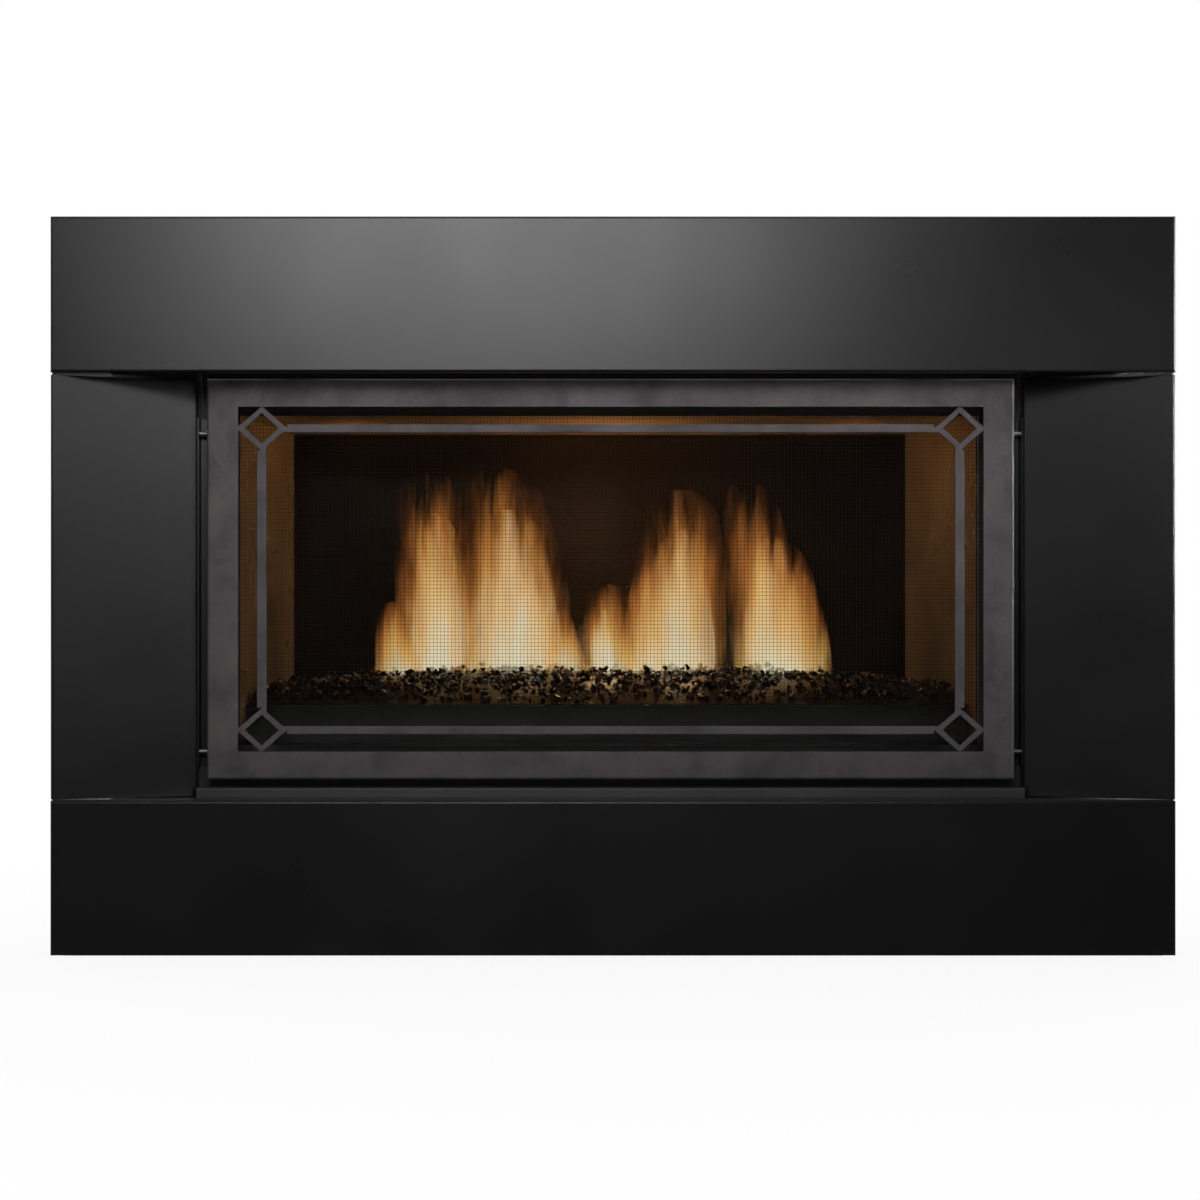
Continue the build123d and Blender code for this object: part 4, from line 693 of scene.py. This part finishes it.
# Crushed media ---------------------------------------------------------------------------
def chip_shape():
    """One broken chip: the hull of a few scattered points, flattened unevenly."""
    form = bmesh.new()
    for _ in range(CHIP_CORNERS):
        spot = Vector((chance.gauss(0, 1), chance.gauss(0, 1), chance.gauss(0, 1))).normalized()
        spot *= chance.uniform(0.72, 1.0)
        form.verts.new((spot.x, spot.y * chance.uniform(0.7, 0.95), spot.z * CHIP_FLATNESS))
    hull = bmesh.ops.convex_hull(form, input=form.verts)
    loose = [v for v in hull["geom_interior"] if isinstance(v, bmesh.types.BMVert)]
    bmesh.ops.delete(form, geom=loose, context="VERTS")
    form.verts.ensure_lookup_table()
    points = [v.co.copy() for v in form.verts]
    order = {v: i for i, v in enumerate(form.verts)}
    faces = [tuple(order[v] for v in f.verts) for f in form.faces]
    form.free()
    return points, faces


def bed_surface():
    """What the chips lie on: the mound, its grate and the tray's rim."""
    points, faces = [], []
    for name in ("media_bed", "media_grate", "burner_tray"):
        mesh = frame["nodes"][name].data
        first = len(points)
        points += [v.co.copy() for v in mesh.vertices]
        faces += [tuple(first + i for i in p.vertices) for p in mesh.polygons]
    return BVHTree.FromPolygons(points, faces)


def scatter_chips():
    """Chips thrown over the bed, packed close, each turned its own way."""
    shapes = [chip_shape() for _ in range(CHIP_SHAPES)]
    low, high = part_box("media_bed")
    ground = bed_surface()
    points, faces, tones = [], [], []
    for _ in range(CHIP_COUNT):
        size = chance.uniform(CHIP_SMALL, CHIP_LARGE) * chance.uniform(0.75, 1.0) / 2
        x = chance.uniform(low.x + size, high.x - size)
        y = chance.uniform(low.y + size, high.y - size)
        hit = ground.ray_cast(Vector((x, y, high.z + 0.05)), Vector((0, 0, -1)))
        if hit[0] is None:
            continue
        lift = size * (CHIP_FLATNESS - CHIP_SINK if chance.random() < LYING_SHARE else CHIP_PERCH)
        turn = Euler([chance.uniform(-CHIP_TILT, CHIP_TILT), chance.uniform(-CHIP_TILT, CHIP_TILT),
                      chance.uniform(0, FULL_TURN)]).to_matrix()
        shape_points, shape_faces = shapes[chance.randrange(CHIP_SHAPES)]
        first = len(points)
        centre = Vector((x, y, hit[0].z + lift))
        points += [centre + turn @ (p * size) for p in shape_points]
        faces += [tuple(first + i for i in f) for f in shape_faces]
        amber = chance.random()
        tone = chance.uniform(0.0, 0.5) if amber < DARK_SHARE else chance.uniform(0.5, 1.0)
        tones += [tone] * len(shape_points)
    chips = add_piece("media_chips", points, faces, "root", "media_crushed", chips_finish, smooth=False)
    mark_points(chips, "chip_tone", tones)


scatter_chips()


# Flames ----------------------------------------------------------------------------------
Curtain = namedtuple("Curtain", "foot_left foot_right crown_left crown_right top sway heart")

# Each flame is a few curtains, one behind another. The heart is 1 where the fire is palest.
FLAMES = {
    "flame_far_left": [
        Curtain(-0.272, -0.162, -0.266, -0.180, 0.598, 0.006, 0.0),
        Curtain(-0.298, -0.236, -0.292, -0.258, 0.430, 0.004, 0.1),
        Curtain(-0.252, -0.172, -0.248, -0.188, 0.545, 0.005, 0.8),
        Curtain(-0.236, -0.180, -0.232, -0.198, 0.500, 0.003, 1.0),
    ],
    "flame_left": [
        Curtain(-0.192, -0.034, -0.186, -0.084, 0.604, 0.006, 0.0),
        Curtain(-0.084, -0.020, -0.070, -0.048, 0.430, 0.004, 0.2),
        Curtain(-0.174, -0.048, -0.166, -0.092, 0.550, 0.005, 0.9),
        Curtain(-0.162, -0.064, -0.156, -0.110, 0.515, 0.003, 1.0),
    ],
    "flame_low": [
        Curtain(-0.028, 0.044, -0.022, 0.030, 0.452, 0.004, 0.1),
        Curtain(-0.018, 0.018, -0.012, 0.010, 0.420, 0.003, 1.0),
    ],
    "flame_right": [
        Curtain(0.016, 0.158, 0.060, 0.152, 0.574, 0.006, 0.0),
        Curtain(0.022, 0.092, 0.046, 0.082, 0.480, 0.005, 0.2),
        Curtain(0.036, 0.148, 0.074, 0.134, 0.524, 0.005, 0.9),
        Curtain(0.048, 0.136, 0.086, 0.120, 0.480, 0.003, 1.0),
    ],
    "flame_far_right": [
        Curtain(0.166, 0.278, 0.146, 0.208, 0.590, 0.006, 0.0),
        Curtain(0.196, 0.298, 0.206, 0.260, 0.510, 0.006, 0.1),
        Curtain(0.182, 0.268, 0.190, 0.238, 0.515, 0.005, 0.8),
        Curtain(0.194, 0.246, 0.202, 0.228, 0.470, 0.003, 1.0),
    ],
}


def flame_sheet(shell, curtain, depth, rings=24, sides=16):
    """Adds one closed curtain of fire, thin from front to back, from the bed up to its ragged crown."""
    points, faces, marks = shell
    first = len(points)
    turn_at = chance.uniform(0, FULL_TURN)
    for ring in range(rings + 1):
        along = ring / rings
        lean = along ** 1.4
        drift = curtain.sway * math.sin(turn_at + along * 4.4) * along
        left = curtain.foot_left + (curtain.crown_left - curtain.foot_left) * lean + drift
        right = curtain.foot_right + (curtain.crown_right - curtain.foot_right) * lean + drift
        closing = math.sqrt(max(0.0, 1 - max(0.0, (along - CROWN_FROM) / (1 - CROWN_FROM)) ** 2))
        half = max((right - left) / 2 * (0.25 + 0.75 * closing), CURTAIN_LEAST)
        thick = min(half * 0.5, CURTAIN_THICK)
        height = FLAME_FOOT + (curtain.top - FLAME_FOOT) * along
        centre = Vector(((left + right) / 2, depth + 0.3 * drift, height))
        for side in range(sides):
            angle = FULL_TURN * side / sides
            points.append(centre + Vector((half * math.cos(angle), thick * math.sin(angle), 0)))
            marks.append((along, abs(math.cos(angle)), curtain.heart))
    faces.extend(tube_faces(first, rings + 1, sides))


def light_flames():
    """Adds the five flames, with the numbers that their material reads at each point."""
    for name, curtains in FLAMES.items():
        points, faces, marks = [], [], []
        for order, curtain in enumerate(curtains):
            flame_sheet((points, faces, marks), curtain, FIRE_LINE + CURTAIN_GAP * (order - 1.5))
        flame = add_piece(name, points, faces, "root", finish=flame_finish)
        for label, values in zip(("along", "across", "heart"), zip(*marks)):
            mark_points(flame, label, values)


light_flames()


# Studio ----------------------------------------------------------------------------------
def seen_white(tree, plain, white, direct, mirrored):
    """Mixes in plain white by one share for the eye and another for mirrors and glass."""
    path = put(tree, "ShaderNodeLightPath").outputs
    bounced = calc(tree, "MAXIMUM", path["Is Glossy Ray"], path["Is Transmission Ray"])
    share = calc(tree, "MAXIMUM", calc(tree, "MULTIPLY", path["Is Camera Ray"], direct),
                 calc(tree, "MULTIPLY", bounced, mirrored))
    return put(tree, "ShaderNodeMixShader", {0: share, 1: plain, 2: white}).outputs[0]


def lay_floor():
    """Pale floor: it keeps the shadow close by and turns plain white further off."""
    mesh = bpy.data.meshes.new("floor")
    corners = [(x * FLOOR_REACH, y * FLOOR_REACH, 0) for x, y in ((-1, -1), (1, -1), (1, 1), (-1, 1))]
    mesh.from_pydata(corners, [], [(0, 1, 2, 3)])
    floor = add_object("floor", mesh)
    material, tree, surface = surface_of("pale_floor")
    skin = use(tree, coat_grain, Grain_Size=0.01, Patch_Size=0.6)
    pale = blend_colour(tree, skin["Tone"], (0.78, 0.78, 0.78, 1), (0.8, 0.8, 0.8, 1))
    mirror = put(tree, "ShaderNodeLightPath").outputs["Is Glossy Ray"]
    tree.links.new(blend_colour(tree, mirror, pale, (0.03, 0.03, 0.03, 1)), surface.inputs["Base Color"])
    surface.inputs["Roughness"].default_value = 0.9
    place = put(tree, "ShaderNodeNewGeometry").outputs["Position"]
    reach = put(tree, "ShaderNodeVectorMath", {0: place}, operation="LENGTH").outputs["Value"]
    behind = put(tree, "ShaderNodeSeparateXYZ", {0: place}).outputs[1]
    glow = put(tree, "ShaderNodeEmission", {"Color": (1, 1, 1, 1), "Strength": 1.0}).outputs[0]
    seen = seen_white(tree, surface.outputs[0], glow, span(tree, reach, WHITE_FROM, WHITE_PAST, 0.9, 1.0),
                      span(tree, behind, -0.3, 0.3))
    tree.links.new(seen, tree.nodes["Material Output"].inputs["Surface"])
    dress(floor, material)


lay_floor()


def light_the_air():
    """White behind the unit, a dim room in front of it, and a soft fill."""
    world = bpy.data.worlds.new("studio")
    bpy.context.scene.world = world
    world.use_nodes = True
    air = world.node_tree
    air.nodes.clear()
    way = put(air, "ShaderNodeTexCoord").outputs["Generated"]
    toward = put(air, "ShaderNodeSeparateXYZ", {0: way}).outputs[1]
    mirror = put(air, "ShaderNodeLightPath").outputs["Is Glossy Ray"]
    level = span(air, mirror, 0.0, 1.0, 0.6, 0.02)
    fill = put(air, "ShaderNodeBackground", {"Color": (0.95, 0.97, 1.0, 1), "Strength": level}).outputs[0]
    white = put(air, "ShaderNodeBackground", {"Color": (1, 1, 1, 1), "Strength": 1.0}).outputs[0]
    seen = seen_white(air, fill, white, 1.0, span(air, toward, -0.1, 0.15))
    air.links.new(seen, put(air, "ShaderNodeOutputWorld").inputs["Surface"])


light_the_air()


def hang_light(name, place, aim, wide, tall, power, spread=180):
    """A soft rectangular lamp, in metres and watts, that spreads over so many degrees."""
    lamp = bpy.data.lights.new(name, "AREA")
    lamp.shape = "RECTANGLE"
    lamp.size = wide
    lamp.size_y = tall
    lamp.energy = power
    lamp.spread = math.radians(spread)
    holder = add_object(name, lamp)
    holder.location = place
    holder.rotation_euler = (Vector(aim) - Vector(place)).to_track_quat("-Z", "Y").to_euler()


hang_light("front_softbox", place=(-0.19, -3.3, 1.5), aim=(-0.3, -0.24, 0.6),
           wide=1.3, tall=0.6, power=5.6, spread=80)
hang_light("left_panel_light", place=(3.583, -4.446, 2.4), aim=(-0.7, -0.2, 0.62),
           wide=2.4, tall=1.2, power=1.55, spread=13)
hang_light("right_panel_light", place=(-3.85, -4.3, 2.4), aim=(0.52, -0.2, 0.6),
           wide=2.4, tall=1.2, power=1.0, spread=16)
hang_light("front_plate_light", place=(4.1, -2.19, 0.97), aim=(0.38, -0.17, 0.7),
           wide=0.5, tall=0.5, power=1.3, spread=11)
hang_light("top_light", place=(0, 0.3, 3.2), aim=(0, 0, 0.5), wide=2.2, tall=1.6, power=30)
hang_light("rear_light", place=(1.6, 3.2, 2.0), aim=(0, 0.2, 0.45), wide=2.2, tall=1.8, power=45)
hang_light("rear_fill_light", place=(-2.4, 2.8, 1.6), aim=(0, 0.2, 0.45), wide=1.8, tall=1.8, power=28)


def fire_glow(name, x, z, power, radius, mirrored):
    """Light that the flames throw on the firebox; shiny surfaces show its ball only where mirrored."""
    lamp = bpy.data.lights.new(name, "POINT")
    lamp.energy = power
    lamp.color = (1.0, 0.62, 0.3)
    lamp.shadow_soft_size = radius
    holder = add_object(name, lamp)
    holder.location = (x, FIRE_LINE - GLOW_AHEAD, z)
    holder.visible_camera = False
    holder.visible_transmission = False
    holder.visible_glossy = mirrored


fire_glow("fire_glow_1", x=0.0, z=0.54, power=1.7, radius=0.05, mirrored=False)
fire_glow("fire_glow_2", x=-0.33, z=0.62, power=0.16, radius=0.03, mirrored=False)
fire_glow("fire_glow_3", x=0.33, z=0.61, power=0.18, radius=0.03, mirrored=False)
fire_glow("fire_glow_4", x=-0.10, z=0.375, power=0.03, radius=0.03, mirrored=True)
fire_glow("fire_glow_5", x=0.0, z=0.37, power=0.26, radius=0.03, mirrored=True)
fire_glow("fire_glow_6", x=0.1, z=0.375, power=0.18, radius=0.03, mirrored=True)


def set_camera():
    """The photo's view: level and straight on, with the frame shifted as the photo is cropped."""
    camera = bpy.data.cameras.new("front_view")
    camera.sensor_width = 36.0
    camera.lens = camera.sensor_width * FOCAL_PIXELS / PHOTO_PIXELS
    camera.shift_x = (PHOTO_PIXELS / 2 - AHEAD_COLUMN) / PHOTO_PIXELS
    camera.shift_y = (AHEAD_ROW - PHOTO_PIXELS / 2) / PHOTO_PIXELS
    eye = add_object("front_view", camera)
    eye.location = EYE_PLACE
    eye.rotation_euler = (math.pi / 2, 0, 0)
    bpy.context.scene.camera = eye
    bpy.context.scene.view_settings.view_transform = "Standard"


set_camera()
